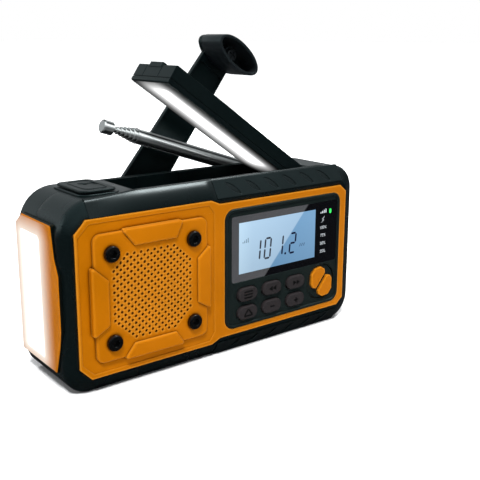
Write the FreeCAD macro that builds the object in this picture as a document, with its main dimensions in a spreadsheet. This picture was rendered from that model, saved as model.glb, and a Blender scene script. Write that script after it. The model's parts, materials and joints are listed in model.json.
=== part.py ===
import FreeCAD, Part
import math
import os
import re
from types import SimpleNamespace

import Sketcher

# Portable emergency radio: hand crank, solar flap with lamp, telescopic antenna.
# Origin: bottom face, under the middle of the front panel.
# +X right, +Y to the rear, +Z up, millimetres. Front faces -Y.

SIZES = {
    # case
    "case_right": 82.3, "case_left": -78.8, "case_height": 80.7,
    "case_front": -24.9, "case_rear": 25.3, "seam": 2.0, "wall": 2.4,
    "front_bevel_y": 4.4, "front_bevel_z": 7.2, "front_bevel_left": 4.5, "front_bevel_right": 8.0,
    "rear_bevel": 8.0,
    # front panel
    "panel_back": -24.0, "panel_face": -25.3, "panel_right": 74.0, "panel_left": -74.0,
    "panel_mid_height": 40.35, "panel_left_half": 33.2, "panel_right_half": 31.2,
    "panel_side_half": 27.9, "step_start": -8.9, "step_end": -4.3, "panel_recess": 0.3,
    # speaker
    "speaker_x": -39.4, "speaker_z": 40.2, "speaker_r": 23.0,
    "grille_face": -26.5, "clamp_face": -27.7, "screw_face": -28.3, "hole_r": 0.65,
    # display
    "bezel_face": -25.1, "bezel_rim_face": -25.8, "bezel_rim": 1.4,
    "bezel_left": -1.75, "bezel_right": 69.9,
    "bezel_low": 12.0, "bezel_high": 68.2,
    "window_left": 2.2, "window_right": 68.3, "window_low": 33.6, "window_high": 64.5,
    "button_long": 11.5, "button_tall": 6.5, "button_face": -26.6,
    # selector knob
    "selector_x": 58.5, "selector_z": 23.8, "selector_r": 8.6, "selector_face": -26.0,
    # solar flap and its tray
    "flap_hinge_x": 50.9, "flap_hinge_z": 76.4, "flap_length": 90.5, "flap_half": 4.25,
    "flap_front": -18.4, "flap_rear": 11.4, "flap_open": 34.5, "flap_cover": 2.2,
    "tray_left": -41.9, "tray_right": 57.3, "tray_front": -20.2, "tray_rear": 13.8,
    "tray_low": 68.1, "tray_floor": 69.5, "tray_top": 80.4,
    # antenna
    "antenna_x": 43.5, "antenna_y": 18.2, "antenna_z": 77.0, "antenna_r": 3.6,
    "antenna_raised": 18.3, "antenna_length": 67.9, "section_step": 2.05,
    "groove_half": 3.8, "groove_floor": 73.2, "groove_left": -48.0, "groove_right": 50.0,
    # hand crank
    "hub_x": -21.7, "hub_z": 60.4, "crank_radius": 93.0, "crank_angle": 52.3,
    "arm_front": 27.8, "arm_back": 31.0, "fold_y": 31.2, "shaft_r": 4.0,
    "knob_long": 14.0, "knob_short": 6.3, "knob_rim": 11.8, "knob_end": 27.6,
    "pocket_floor": 10.6, "pocket_gap": 0.6,
    # gears
    "module": 0.8, "crank_teeth": 25, "pinion_teeth": 10, "wheel_teeth": 30,
    # left end light, top button, rear battery door
    "light_face": -79.6, "light_back": -77.6, "button_x0": -65.0, "button_x1": -48.8,
    "button_y0": -15.4, "button_y1": 10.0, "pad_base_top": 81.2,
    "pad_low": 81.7, "pad_top": 82.6,
    "door_left": -9.5, "door_right": 57.5, "door_low": 10.2, "door_high": 46.5, "door_depth": 1.6,
    "port_front": -8.6, "port_rear": 8.4,
}
d = SimpleNamespace(**SIZES)
SECTIONS = 6
WORD = re.compile(r"[A-Za-z_]\w*")

doc = FreeCAD.newDocument("PortableRadio")
sheet = doc.addObject("Spreadsheet::Sheet", "Dims")
for row, (alias, size) in enumerate(SIZES.items(), 1):
    sheet.set(f"A{row}", alias.replace("_", " "))
    sheet.set(f"B{row}", str(size))
    sheet.setAlias(f"B{row}", alias)
doc.recompute()

nodes = {}


def formula(text):
    """An expression with each sheet word pointed at the sheet."""
    return WORD.sub(lambda m: f"Dims.{m.group()}" if m.group() in SIZES else m.group(), str(text))


def bind(obj, **properties):
    for name, text in properties.items():
        obj.setExpression(name.replace("__", "."), formula(text))


def keep(name, obj):
    """Make obj the sub-part that is written as parts/name.step."""
    obj.Label = name
    nodes[name] = obj
    return obj


# ---------------------------------------------------------------- outlines

def rounded(points, radius=0.0):
    """Closed polygon as edges, each corner rounded; radius is one size or a list."""
    pts = [FreeCAD.Vector(x, y, 0) for x, y in points]
    count = len(pts)
    radii = radius if isinstance(radius, (list, tuple)) else [radius] * count
    edges, corners = [], []
    for i, p in enumerate(pts):
        to_prev = (pts[i - 1] - p).normalize()
        to_next = (pts[(i + 1) % count] - p).normalize()
        if radii[i] == 0:
            corners.append((p, None, p))
            continue
        half = to_prev.getAngle(to_next) / 2
        cut = radii[i] / math.tan(half)
        centre = p + (to_prev + to_next).normalize() * (radii[i] / math.sin(half))
        middle = centre + (p - centre).normalize() * radii[i]
        corners.append((p + to_prev * cut, middle, p + to_next * cut))
    for i, (start, middle, end) in enumerate(corners):
        if middle is not None:
            edges.append(Part.Arc(start, middle, end))
        following = corners[(i + 1) % count][0]
        if (following - end).Length > 1e-6:
            edges.append(Part.LineSegment(end, following))
    return edges


def rectangle(x0, x1, y0, y1, radius=0.0):
    return rounded([(x0, y0), (x1, y0), (x1, y1), (x0, y1)], radius)


def circle(x, y, radius):
    return [Part.Circle(FreeCAD.Vector(x, y, 0), FreeCAD.Vector(0, 0, 1), radius)]


def stadium(x, y, width, height):
    return rectangle(x - width / 2, x + width / 2, y - height / 2, y + height / 2, height / 2 - 0.01)


# ---------------------------------------------------------------- features

PLANES = {"x": "YZ_Plane", "y": "XZ_Plane", "z": "XY_Plane"}


def new_body(name):
    return keep(name, doc.addObject("PartDesign::Body", name))


def add_sketch(body, axis, level, loops):
    """A sketch square to axis at that level; an XZ sketch looks along -Y."""
    sketch = body.newObject("Sketcher::SketchObject", f"{body.Name}_sketch")
    plane = next(f for f in body.Origin.OriginFeatures if f.Role == PLANES[axis])
    sketch.AttachmentSupport = (plane, [""])
    sketch.MapMode = "FlatFace"
    sign = "-1 * " if axis == "y" else ""
    bind(sketch, AttachmentOffset__Base__z=f"{sign}({level})")
    for loop in loops:
        sketch.addGeometry(loop, False)
    sketch.Visibility = False
    return sketch


def pad(body, axis, low, high, *loops):
    """Material between two levels of an axis, inside the outlines."""
    sketch = add_sketch(body, axis, high if axis == "y" else low, loops)
    feature = body.newObject("PartDesign::Pad", f"{body.Name}_pad")
    feature.Profile = sketch
    bind(feature, Length=f"({high}) - ({low})")
    return feature


def pocket(body, axis, low, high, *loops):
    """A cut between two levels of an axis, inside the outlines."""
    sketch = add_sketch(body, axis, low if axis == "y" else high, loops)
    feature = body.newObject("PartDesign::Pocket", f"{body.Name}_pocket")
    feature.Profile = sketch
    bind(feature, Length=f"({high}) - ({low})")
    return feature


def loft(body, axis, level_a, loop_a, level_b, loop_b):
    first = add_sketch(body, axis, level_a, [loop_a])
    second = add_sketch(body, axis, level_b, [loop_b])
    feature = body.newObject("PartDesign::AdditiveLoft", f"{body.Name}_loft")
    feature.Profile = first
    feature.Sections = [second]
    feature.Ruled = True
    return feature


def fillet(body, radius, wanted):
    """Round the edges of the tip that wanted(edge) picks."""
    doc.recompute()
    base = body.Tip
    names = [f"Edge{i}" for i, edge in enumerate(base.Shape.Edges, 1) if wanted(edge)]
    feature = body.newObject("PartDesign::Fillet", f"{body.Name}_fillet")
    feature.Base = (base, names)
    feature.Radius = radius
    return feature


def square_to_y(level):
    """Picks the edges that lie in one plane across Y."""
    return lambda e: e.BoundBox.YLength < 0.01 and abs(e.BoundBox.YMin - level) < 0.01


def plate(name, axis, low, high, *loops):
    body = new_body(name)
    pad(body, axis, low, high, *loops)
    return body


def box(name, x, y, z):
    """Part::Box between pairs of levels."""
    solid = doc.addObject("Part::Box", name)
    for prop, side, (low, high) in (("Length", "x", x), ("Width", "y", y), ("Height", "z", z)):
        bind(solid, **{prop: f"({high}) - ({low})", f"Placement__Base__{side}": low})
    return solid


TURNS = {
    "x": FreeCAD.Rotation(FreeCAD.Vector(0, 1, 0), 90),
    "y": FreeCAD.Rotation(FreeCAD.Vector(1, 0, 0), -90),
    "z": FreeCAD.Rotation(),
}


def cylinder(name, radius, axis, low, high, a, b):
    """Part::Cylinder along axis from low to high; a, b are the other two coordinates in order."""
    solid = doc.addObject("Part::Cylinder", name)
    solid.Placement = FreeCAD.Placement(FreeCAD.Vector(), TURNS[axis])
    bind(solid, Radius=radius, Height=f"({high}) - ({low})")
    spots = {"x": (low, a, b), "y": (a, low, b), "z": (a, b, low)}[axis]
    for side, spot in zip("xyz", spots):
        bind(solid, **{f"Placement__Base__{side}": spot})
    return solid


def boolean(kind, name, parts):
    if kind == "Cut":
        result = doc.addObject("Part::Cut", name)
        result.Base, result.Tool = parts[0], parts[1] if len(parts) == 2 else fuse(f"{name}_tools", parts[1:])
    else:
        result = doc.addObject(f"Part::Multi{kind}", name)
        result.Shapes = parts
    return result


def fuse(name, parts):
    return boolean("Fuse", name, parts)


def cut(name, base, *tools):
    return boolean("Cut", name, [base, *tools])


def group(name, shapes):
    """Several separate solids that share one node."""
    feature = doc.addObject("Part::Feature", name)
    feature.Shape = Part.makeCompound(shapes)
    return keep(name, feature)


def turn(obj, angle, x, z):
    """Turn a sub-part about the line through (x, z) along Y, which sets its place for good."""
    doc.recompute()
    for side in "xyz":
        obj.setExpression(f"Placement.Base.{side}", None)
    axis = FreeCAD.Rotation(FreeCAD.Vector(0, 1, 0), angle)
    swing = FreeCAD.Placement(FreeCAD.Vector(), axis, FreeCAD.Vector(x, 0, z))
    obj.Placement = swing.multiply(obj.Placement)


def post(x, z, radius, y0, y1):
    """Round post along Y as a shape."""
    return Part.makeCylinder(radius, y1 - y0, FreeCAD.Vector(x, y0, z), FreeCAD.Vector(0, 1, 0))


# ---------------------------------------------------------------- case

CORNER_RADII = (11.0, 12.5, 12.5, 15.5)
LEAST_RADIUS = 1.0


def case_outline(inset=0.0, left=None, right=None):
    """Case seen from the front, drawn in by inset; left and right may be drawn in by another size."""
    x0 = d.case_left + (inset if left is None else left)
    x1 = d.case_right - (inset if right is None else right)
    radii = [max(radius - inset, LEAST_RADIUS) for radius in CORNER_RADII]
    return rectangle(x0, x1, inset, d.case_height - inset, radii)


SCREW_POSTS = ((-66.0, 13.0), (70.0, 13.0), (-66.0, 63.5), (-5.0, 63.5))
POST_R = 3.5
LIGHT_HOLE = rectangle(-4.6, 15.0, 11.6, 64.8, 2.0)
LIGHT_FRAME = ((12.1, 71.3), (-15.9, 71.2), (-18.0, 58.3), (-21.0, 51.8), (-21.0, 28.6),
               (-19.6, 21.7), (-15.2, 9.0), (19.1, 9.0), (19.1, 66.5))


def panel_outline(gap=0.0):
    """Front panel outline: taller over the speaker, stepped down over the display."""
    mid = d.panel_mid_height
    left, right = d.panel_left - gap, d.panel_right + gap
    tall, low, side = d.panel_left_half + gap, d.panel_right_half + gap, d.panel_side_half
    chamfer_left, chamfer_right = 5.1, 4.0
    top = [
        (left, side), (left + chamfer_left, tall), (d.step_start, tall), (d.step_end, low),
        (right - chamfer_right, low), (right, side),
    ]
    points = [(x, mid + z) for x, z in top] + [(x, mid - z) for x, z in reversed(top)]
    return rounded(points)


def port_outline(gap=0.0):
    return rectangle(d.port_front - gap, d.port_rear + gap, 25.0 - gap, 54.0 + gap, 2.0)


def recess_outline():
    """Shallow field round the speaker plate."""
    left, right, top, mid = -72.8, -7.6, 31.25, d.panel_mid_height
    half = [(left, top - 5.0), (left + 5.0, top), (right - 2.6, top), (right, top - 3.6)]
    return rounded([(x, mid + z) for x, z in half] + [(x, mid - z) for x, z in reversed(half)], 0.6)


def light_outline(gap=0.0):
    """Frame of the end light in Y and Z, grown about its middle."""
    middle_y, middle_z, half = -1.75, 40.15, 20.0
    grow = 1 + gap / half
    return rounded([(middle_y + (y - middle_y) * grow, middle_z + (z - middle_z) * grow)
                    for y, z in LIGHT_FRAME], 1.0)


def button_seat(gap=0.0):
    side = 1.2 + gap
    return rectangle(d.button_x0 - side, d.button_x1 + side, d.button_y0 - side, d.button_y1 + side,
                     4.0 + gap)


def end_recesses(body):
    """Seats for the end light, the port cover and the top button, shared by both shells."""
    pocket(body, "x", "case_left", "case_left + 3", LIGHT_HOLE)
    pocket(body, "x", "case_left", "light_back + 0.05", light_outline(0.12))
    pocket(body, "x", "case_right - 3", "case_right", port_outline(0.1))
    pocket(body, "z", "case_height - 0.6", "case_height", button_seat(0.1))


def front_shell():
    body = new_body("front_shell")
    pad(body, "y", "case_front + front_bevel_y", "seam", case_outline())
    loft(body, "y", "case_front + front_bevel_y", case_outline(), "case_front",
         case_outline(d.front_bevel_z, d.front_bevel_left, d.front_bevel_right))
    fillet(body, 2.6, square_to_y(d.case_front + d.front_bevel_y))
    fillet(body, 2.6, square_to_y(d.case_front))
    pocket(body, "y", "case_front + 2.8 + 2.4", "seam", case_outline(d.wall))
    pocket(body, "y", "case_front + 2.8", "seam",
           rectangle(-71.5, 75.0, 7.0, 73.6, 3.0))
    pocket(body, "y", "case_front", "panel_back", panel_outline(0.15))
    buttons = [stadium(x, z, d.button_long + 0.6, d.button_tall + 0.6)
               for x in BUTTON_X for z in BUTTON_Z]
    pocket(body, "y", "case_front", "case_front + 3",
           circle(d.speaker_x, d.speaker_z, d.speaker_r),
           rectangle(3.4, 67.0, 34.8, 63.4, 1.0),
           circle(d.selector_x, d.selector_z, 9.6), *buttons)
    pocket(body, "z", 67, "case_height", rectangle(d.tray_left - 0.1, d.tray_right + 0.1,
                                                   d.tray_front - 0.1, 10))
    pocket(body, "z", 77, "case_height", circle(-56.0, -2.7, 3.2))
    end_recesses(body)
    doc.recompute()
    posts = doc.addObject("Part::Feature", "front_posts")
    posts.Shape = Part.makeCompound([
        post(x, z, POST_R, d.case_front + 2.4, d.seam).cut(post(x, z, 1.0, -14.0, d.seam))
        for x, z in SCREW_POSTS])
    whole = fuse("front_shell_whole", [body, posts])
    return swap(body, whole)


def swap(body, whole):
    """Let a boolean built from a body take the body's place as the sub-part."""
    name = body.Label
    body.Label = f"{name}_body"
    return keep(name, whole)


def rear_shell():
    body = new_body("rear_shell")
    pad(body, "y", "seam", "case_rear - rear_bevel - 0.3", case_outline())
    loft(body, "y", "case_rear - rear_bevel - 0.3", case_outline(), "case_rear",
         case_outline(d.rear_bevel))
    fillet(body, 2.6, square_to_y(d.case_rear - d.rear_bevel - 0.3))
    fillet(body, 2.6, square_to_y(d.case_rear))
    wall, top = d.wall, d.case_height - d.wall
    low_left, right_radius = CORNER_RADII[0] - wall, CORNER_RADII[1] - wall
    pocket(body, "y", "seam", "case_rear - wall - 6",
           rectangle(d.case_left + wall, 58.0, wall, 71.4, [low_left, 2.0, 2.0, 6.0]))
    pocket(body, "y", "seam", "case_rear - wall", rectangle(-70.0, 58.0, 8.0, 71.4, 2.0))
    pocket(body, "y", "seam", "pocket_floor - 2",
           rectangle(50.0, d.case_right - wall, wall, top, [2.0, right_radius, right_radius, 2.0]))
    pocket(body, "y", "seam", "tray_rear + 0.1", rectangle(-68.0, 58.0, 60.0, top, [2.0, 2.0, 2.0, 4.0]))
    pocket(body, "z", 67, "case_height",
           rectangle(d.tray_left - 0.1, d.tray_right + 0.1, -10, d.tray_rear + 0.1))
    pocket(body, "z", "groove_floor", "case_height",
           rectangle(d.groove_left, d.groove_right, d.antenna_y - d.groove_half,
                     d.antenna_y + d.groove_half, 1.0))
    end_recesses(body)
    pocket(body, "y", "case_rear - door_depth - 0.1", "case_rear",
           rectangle(d.door_left - 2.2, d.door_right + 2.2, d.door_low - 1.2, d.door_high + 1.2, 3.0))
    pocket(body, "y", "case_rear - 3", "case_rear",
           rectangle(d.door_left, d.door_right, d.door_low + 1.5, d.door_high, 2.0))
    pocket(body, "y", "case_rear - 3", "case_rear", circle(d.hub_x, d.hub_z, 6.5))
    pocket(body, "y", "case_rear - wall", "case_rear - 0.8", circle(*IDLER, 1.5))
    doc.recompute()
    screws = doc.addObject("Part::Feature", "rear_posts")
    screws.Shape = Part.makeCompound([post(x, z, POST_R, d.seam + 0.2, 24.0) for x, z in SCREW_POSTS])
    holes = doc.addObject("Part::Feature", "rear_post_holes")
    holes.Shape = Part.makeCompound([
        post(x, z, 1.4, -1.0, 30.0).fuse(post(x, z, 2.7, 23.4, 30.0)) for x, z in SCREW_POSTS])
    swept = cut("knob_sweep",
                cylinder("sweep_outer", "crank_radius + knob_short + pocket_gap", "y",
                         "pocket_floor", 40, "hub_x", "hub_z"),
                cylinder("sweep_inner", "crank_radius - knob_short - pocket_gap", "y",
                         "pocket_floor", 40, "hub_x", "hub_z"))
    slot = boolean("Common", "knob_pocket",
                   [swept, box("pocket_limits", (40, 90), ("pocket_floor", 40),
                               ("hub_z - knob_long - 0.8", 100))])
    whole = cut("rear_shell_whole", fuse("rear_shell_posts", [body, screws]), holes, slot)
    return swap(body, whole)


# ---------------------------------------------------------------- front

BUTTON_X = (10.9, 25.6, 40.7)
BUTTON_Z = (18.3, 27.2)
SPEAKER_PLATE = (-66.8, -12.1, 13.3, 67.3)
CLAMPS = (
    ((-54.5, 68.0), (-48.5, 60.6), (-28.4, 60.6), (-24.8, 68.0)),
    ((-68.4, 55.2), (-60.8, 48.0), (-60.8, 29.1), (-68.4, 24.8)),
    ((-54.9, 12.5), (-49.5, 19.0), (-29.1, 19.0), (-24.8, 12.5)),
    ((-10.9, 55.2), (-17.6, 49.6), (-17.6, 29.7), (-10.9, 25.6)),
)
GRILLE_SCREWS = ((-59.0, 58.7), (-19.6, 58.7), (-59.0, 21.2), (-19.6, 21.2))
PITCH_X, PITCH_Z = 3.2, 3.0


def front_panel():
    body = plate("front_panel", "y", "panel_face", "panel_back", panel_outline())
    bezel_gap = rectangle(d.bezel_left - 0.1, d.bezel_right + 0.1, d.bezel_low - 0.1,
                          d.bezel_high + 0.1, 5.1)
    pocket(body, "y", "panel_face", "panel_back", bezel_gap,
           circle(d.speaker_x, d.speaker_z, d.speaker_r))
    pocket(body, "y", "panel_face", "panel_face + panel_recess", recess_outline())
    pocket(body, "y", "panel_face", "panel_back", *[circle(x, z, 1.5) for x, z in GRILLE_SCREWS])


def grille_holes():
    """Staggered rows of holes on an octagonal field; odd rows sit half a pitch across."""
    left, right, low, high, cut_off = -58.2, -20.6, 21.3, 58.6, 7.0
    middle_x, middle_z = (left + right) / 2, (low + high) / 2
    reach = (right - left) / 2 + (high - low) / 2 - cut_off
    spots = []
    rows = int((high - low) / (PITCH_Z / 2)) + 1
    for row in range(rows):
        z = low + row * PITCH_Z / 2
        start = left + (PITCH_X / 2 if row % 2 else 0)
        for column in range(int((right - start) / PITCH_X) + 1):
            x = start + column * PITCH_X
            if abs(x - middle_x) + abs(z - middle_z) < reach:
                spots.append((x, z))
    return spots


def speaker_grille():
    plate_outline = rectangle(*SPEAKER_PLATE, 3.5)
    body = plate("speaker_grille", "y", "grille_face", "panel_face + panel_recess", plate_outline)
    fillet(body, 0.8, lambda e: e.BoundBox.YMax < d.grille_face + 0.01)
    pocket(body, "y", "grille_face", "panel_back",
           *[circle(x, z, d.hole_r) for x, z in grille_holes()])
    pocket(body, "y", "grille_face", "panel_back", *[circle(x, z, 1.5) for x, z in GRILLE_SCREWS])


def grille_clamps():
    """Four raised bars that hold the edges of the speaker plate."""
    back = d.panel_face + d.panel_recess
    plate_solid = Part.Face(Part.Wire([e.toShape() for e in rectangle(*SPEAKER_PLATE, 3.5)]))
    plate_solid.rotate(FreeCAD.Vector(), FreeCAD.Vector(1, 0, 0), 90)
    plate_solid.translate(FreeCAD.Vector(0, back, 0))
    plate_solid = plate_solid.extrude(FreeCAD.Vector(0, d.grille_face - back, 0))
    bars = []
    for corners in CLAMPS:
        outline = [e.toShape() for e in rounded(corners, 0.9)]
        bar = Part.Face(Part.Wire(outline))
        bar.rotate(FreeCAD.Vector(), FreeCAD.Vector(1, 0, 0), 90)
        bar.translate(FreeCAD.Vector(0, back, 0))
        bar = bar.extrude(FreeCAD.Vector(0, d.clamp_face - back, 0))
        front = [e for e in bar.Edges if e.BoundBox.YMax < d.clamp_face + 0.01]
        bars.append(bar.makeFillet(0.85, front).cut(plate_solid).Solids[0])
    group("grille_clamps", bars)


def grille_screws():
    """Round-headed screws with a hexagon socket."""
    head_r, head_face, socket_r, shank_r = 3.45, d.screw_face, 1.7, 1.4
    screws = []
    for x, z in GRILLE_SCREWS:
        head = post(x, z, head_r, head_face, d.grille_face)
        rim = [e for e in head.Edges if e.BoundBox.YMax < head_face + 0.01]
        head = head.makeFillet(0.9, rim)
        socket = Part.Face(Part.makePolygon([
            FreeCAD.Vector(x + socket_r * math.cos(k * math.pi / 3), head_face,
                           z + socket_r * math.sin(k * math.pi / 3)) for k in range(7)]))
        socket = socket.extrude(FreeCAD.Vector(0, 1.3, 0))
        shank = post(x, z, shank_r, d.grille_face, d.panel_back)
        screws.append(head.cut(socket).fuse(shank).removeSplitter())
    group("grille_screws", [s.Solids[0] for s in screws])


def display():
    rim, radius = d.bezel_rim, 5.0
    body = plate("display_bezel", "y", "bezel_rim_face", "panel_back",
                 rectangle(d.bezel_left, d.bezel_right, d.bezel_low, d.bezel_high, radius))
    pocket(body, "y", "bezel_rim_face", "bezel_face",
           rectangle(d.bezel_left + rim, d.bezel_right - rim, d.bezel_low + rim, d.bezel_high - rim,
                     radius - rim))
    fillet(body, 0.5, lambda e: e.BoundBox.YMax < d.bezel_rim_face + 0.01)
    pocket(body, "y", "bezel_face", "panel_back",
           rectangle(d.window_left - 0.05, d.window_right + 0.05, d.window_low - 0.05,
                     d.window_high + 0.05, 1.2),
           circle(d.selector_x, d.selector_z, 9.5),
           *[stadium(x, z, d.button_long + 0.6, d.button_tall + 0.6)
             for x in BUTTON_X for z in BUTTON_Z])
    plate("lcd_window", "y", "bezel_face", "panel_back",
          rectangle(d.window_left, d.window_right, d.window_low, d.window_high, 1.2))
    plate("lcd_module", "y", "panel_back + 0.1", -19.6,
          rectangle(4.0, 60.0, 35.2, 63.0, 0.5))
    keep("status_led", cylinder("status_led", 1.0, "y", -23.8, -20.0, 63.3, 59.2))


def buttons():
    names = ("menu_button", "tune_down_button", "tune_up_button",
             "mode_button", "preset_down_button", "preset_up_button")
    places = [(x, z) for z in reversed(BUTTON_Z) for x in BUTTON_X]
    for name, (x, z) in zip(names, places):
        body = new_body(name)
        pad(body, "y", "button_face", -22.0, stadium(x, z, d.button_long, d.button_tall))
        fillet(body, 0.8, lambda e: e.BoundBox.YMax < d.button_face + 0.01)
        pad(body, "y", -22.0, -21.4, stadium(x, z, d.button_long + 1.6, d.button_tall + 1.4))
    board = plate("button_board", "y", -20.4, -19.0, rectangle(2.0, 49.0, 13.0, 32.5, 1.0))
    pad(board, "y", -20.5, -20.4, *[circle(x, z, 2.0) for x, z in places])


SELECTOR_LOBE = ((-7.0, -0.8), (-7.0, 4.7), (-4.7, 7.4), (-0.6, 7.9), (1.9, 6.3), (2.3, 4.4),
                 (-3.7, -2.9), (-5.8, -2.4))


def selector():
    """Two raised lobes with a slanted slot between them, on a disc sunk in a round dish."""
    x, z = d.selector_x, d.selector_z
    dish_floor, disc_face, disc_back = -22.4, -24.5, -22.5
    dish = plate("selector_dish", "y", "bezel_face", -21.7, circle(x, z, 9.4), circle(x, z, 3.2))
    pocket(dish, "y", "bezel_face", dish_floor, circle(x, z, 9.0))
    disc = plate("selector_disc", "y", disc_face, disc_back, circle(x, z, d.selector_r))
    pad(disc, "y", disc_back, -16.6, circle(x, z, 3.1))
    lobes = [rounded([(x + side * u, z + side * v) for u, v in SELECTOR_LOBE], 1.0) for side in (1, -1)]
    solids = []
    for lobe in lobes:
        solid = Part.Face(Part.Wire([e.toShape() for e in lobe]))
        solid.rotate(FreeCAD.Vector(), FreeCAD.Vector(1, 0, 0), 90)
        solid.translate(FreeCAD.Vector(0, disc_face, 0))
        solid = solid.extrude(FreeCAD.Vector(0, d.selector_face - disc_face, 0))
        solids.append(solid.makeFillet(0.5, [e for e in solid.Edges if e.BoundBox.YMax < d.selector_face + 0.01]))
    group("selector_knob", solids)
    encoder = plate("selector_encoder", "y", -21.6, -14.5, rectangle(x - 6.5, x + 6.5, z - 6.5, z + 6.5, 0.8))
    pocket(encoder, "y", -21.6, -16.4, circle(x, z, 3.16))


# ---------------------------------------------------------------- inside

def speaker():
    """Paper-cone loudspeaker with a round magnet, about an axis along Y."""
    profile = [(0, -16.0), (9.0, -16.0), (22.2, -20.4), (22.2, -21.4), (24.6, -21.4), (24.6, -19.6),
               (12.0, -10.0), (12.0, -4.2), (0, -4.2)]
    face = Part.Face(Part.makePolygon([FreeCAD.Vector(r, y, 0) for r, y in profile + profile[:1]]))
    solid = face.revolve(FreeCAD.Vector(), FreeCAD.Vector(0, 1, 0), 360)
    feature = doc.addObject("Part::Feature", "speaker")
    feature.Shape = solid
    feature.Placement.Base = FreeCAD.Vector(d.speaker_x, 0, d.speaker_z)
    keep("speaker", feature)


def electronics():
    board = plate("circuit_board", "y", -1.6, 0.0, rectangle(2.0, 65.0, 8.0, 60.0, 1.0))
    pad(board, "y", 0.0, 1.9, rectangle(12, 24, 40, 52), rectangle(34, 42, 20, 28))
    plate("port_plate", "x", "case_right - 6", "case_right - 0.9",
          port_outline(), rectangle(-3.0, 2.7, 36.0, 49.2, 0.4), circle(-0.1, 30.5, 1.8))
    cover = new_body("port_cover")
    pad(cover, "x", "case_right - 0.85", "case_right + 0.3", port_outline(-0.1))
    cells = [Part.makeCylinder(9.15, 65.0, FreeCAD.Vector(-8.6, 12.2, z), FreeCAD.Vector(1, 0, 0))
             for z in (18.2, 36.8)]
    group("battery_cells", cells)
    plate("battery_door", "y", "case_rear - door_depth", "case_rear",
          rectangle(d.door_left - 2.0, d.door_right + 2.0, d.door_low - 1.0, d.door_high + 1.0, 2.8))


def gear(teeth, width, y, phase):
    """Straight-toothed spur gear about the Y axis, one tooth at the angle phase."""
    size = d.module
    pitch_r = size * teeth / 2
    root, tip = pitch_r - 1.1 * size, pitch_r + 0.75 * size
    step = 2 * math.pi / teeth
    points = []
    for k in range(teeth):
        for share, radius in ((-0.30, root), (-0.11, tip), (0.11, tip), (0.30, root)):
            angle = phase + (k + share) * step
            points.append(FreeCAD.Vector(radius * math.cos(angle), y, radius * math.sin(angle)))
    blank = Part.Face(Part.makePolygon(points + points[:1]))
    return blank.extrude(FreeCAD.Vector(0, width, 0))


IDLER_ANGLE, ROTOR_ANGLE = math.radians(225), math.radians(250)
MESH_GAP = 0.1
STAGE_ONE = d.module * (d.crank_teeth + d.pinion_teeth) / 2 + MESH_GAP
STAGE_TWO = d.module * (d.wheel_teeth + d.pinion_teeth) / 2 + MESH_GAP
IDLER = (d.hub_x + STAGE_ONE * math.cos(IDLER_ANGLE), d.hub_z + STAGE_ONE * math.sin(IDLER_ANGLE))
ROTOR = (IDLER[0] + STAGE_TWO * math.cos(ROTOR_ANGLE), IDLER[1] + STAGE_TWO * math.sin(ROTOR_ANGLE))
STAGE_ONE_Y, STAGE_TWO_Y, GEAR_WIDTH = 19.8, 16.4, 2.5


def gear_node(name, shape, x, z):
    feature = doc.addObject("Part::Feature", name)
    feature.Shape = shape
    feature.Placement.Base = FreeCAD.Vector(x, 0, z)
    return keep(name, feature)


def gear_train():
    """Crank gear, stepped idler and generator pinion, meshed at rest."""
    half_pinion = math.pi / d.pinion_teeth
    first = gear(int(d.crank_teeth), GEAR_WIDTH, STAGE_ONE_Y, IDLER_ANGLE).cut(
        post(0, 0, d.shaft_r, 0, 40))
    gear_node("crank_gear", first, d.hub_x, d.hub_z)
    small = gear(int(d.pinion_teeth), GEAR_WIDTH, STAGE_ONE_Y, IDLER_ANGLE + math.pi + half_pinion)
    wheel = gear(int(d.wheel_teeth), GEAR_WIDTH, STAGE_TWO_Y, ROTOR_ANGLE)
    collar = post(0, 0, 3.0, STAGE_TWO_Y, STAGE_ONE_Y + GEAR_WIDTH)
    idler = small.fuse([wheel, collar]).cut(post(0, 0, 1.56, 0, 40)).removeSplitter()
    gear_node("idler_gear", idler, *IDLER)
    last = gear(int(d.pinion_teeth), GEAR_WIDTH, STAGE_TWO_Y, ROTOR_ANGLE + math.pi + half_pinion)
    rotor = last.fuse(post(0, 0, 1.0, 12.0, STAGE_TWO_Y + GEAR_WIDTH)).removeSplitter()
    gear_node("generator_pinion", rotor, *ROTOR)
    keep("idler_axle", cylinder("idler_axle", 1.5, "y", 16.0, "case_rear - 0.8", IDLER[0], IDLER[1]))
    can = plate("generator", "y", 3.2, 15.9, circle(*ROTOR, 11.5))
    pocket(can, "y", 11.8, 15.9, circle(*ROTOR, 1.06))


# ---------------------------------------------------------------- left end light

def end_light():
    window = (-4.3, 14.7, 12.0, 64.4)
    frame = plate("light_frame", "x", "light_face", "light_back", light_outline())
    fillet(frame, 1.0, lambda e: e.BoundBox.XMax < d.light_face + 0.01)
    pocket(frame, "x", "light_face", "light_back",
           rectangle(window[0] - 0.1, window[1] + 0.1, window[2] - 0.1, window[3] + 0.1, 2.0))
    plate("light_lens", "x", "light_face + 0.4", "light_back - 0.1", rectangle(*window, 1.9))
    reflector = plate("light_reflector", "x", "light_back + 0.1", "light_back + 3.1",
                      rectangle(-4.4, 14.8, 11.9, 64.5, 2.0))
    pocket(reflector, "x", "light_back + 0.1", "light_back + 2.2", rectangle(-3.4, 13.8, 12.9, 63.5, 1.5))
    leds = [Part.makeBox(1.2, 5.0, 5.0, FreeCAD.Vector(d.light_back + 1.0, 2.7, z))
            for z in (17.0, 29.5, 42.0, 54.5)]
    group("light_leds", leds)


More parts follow.
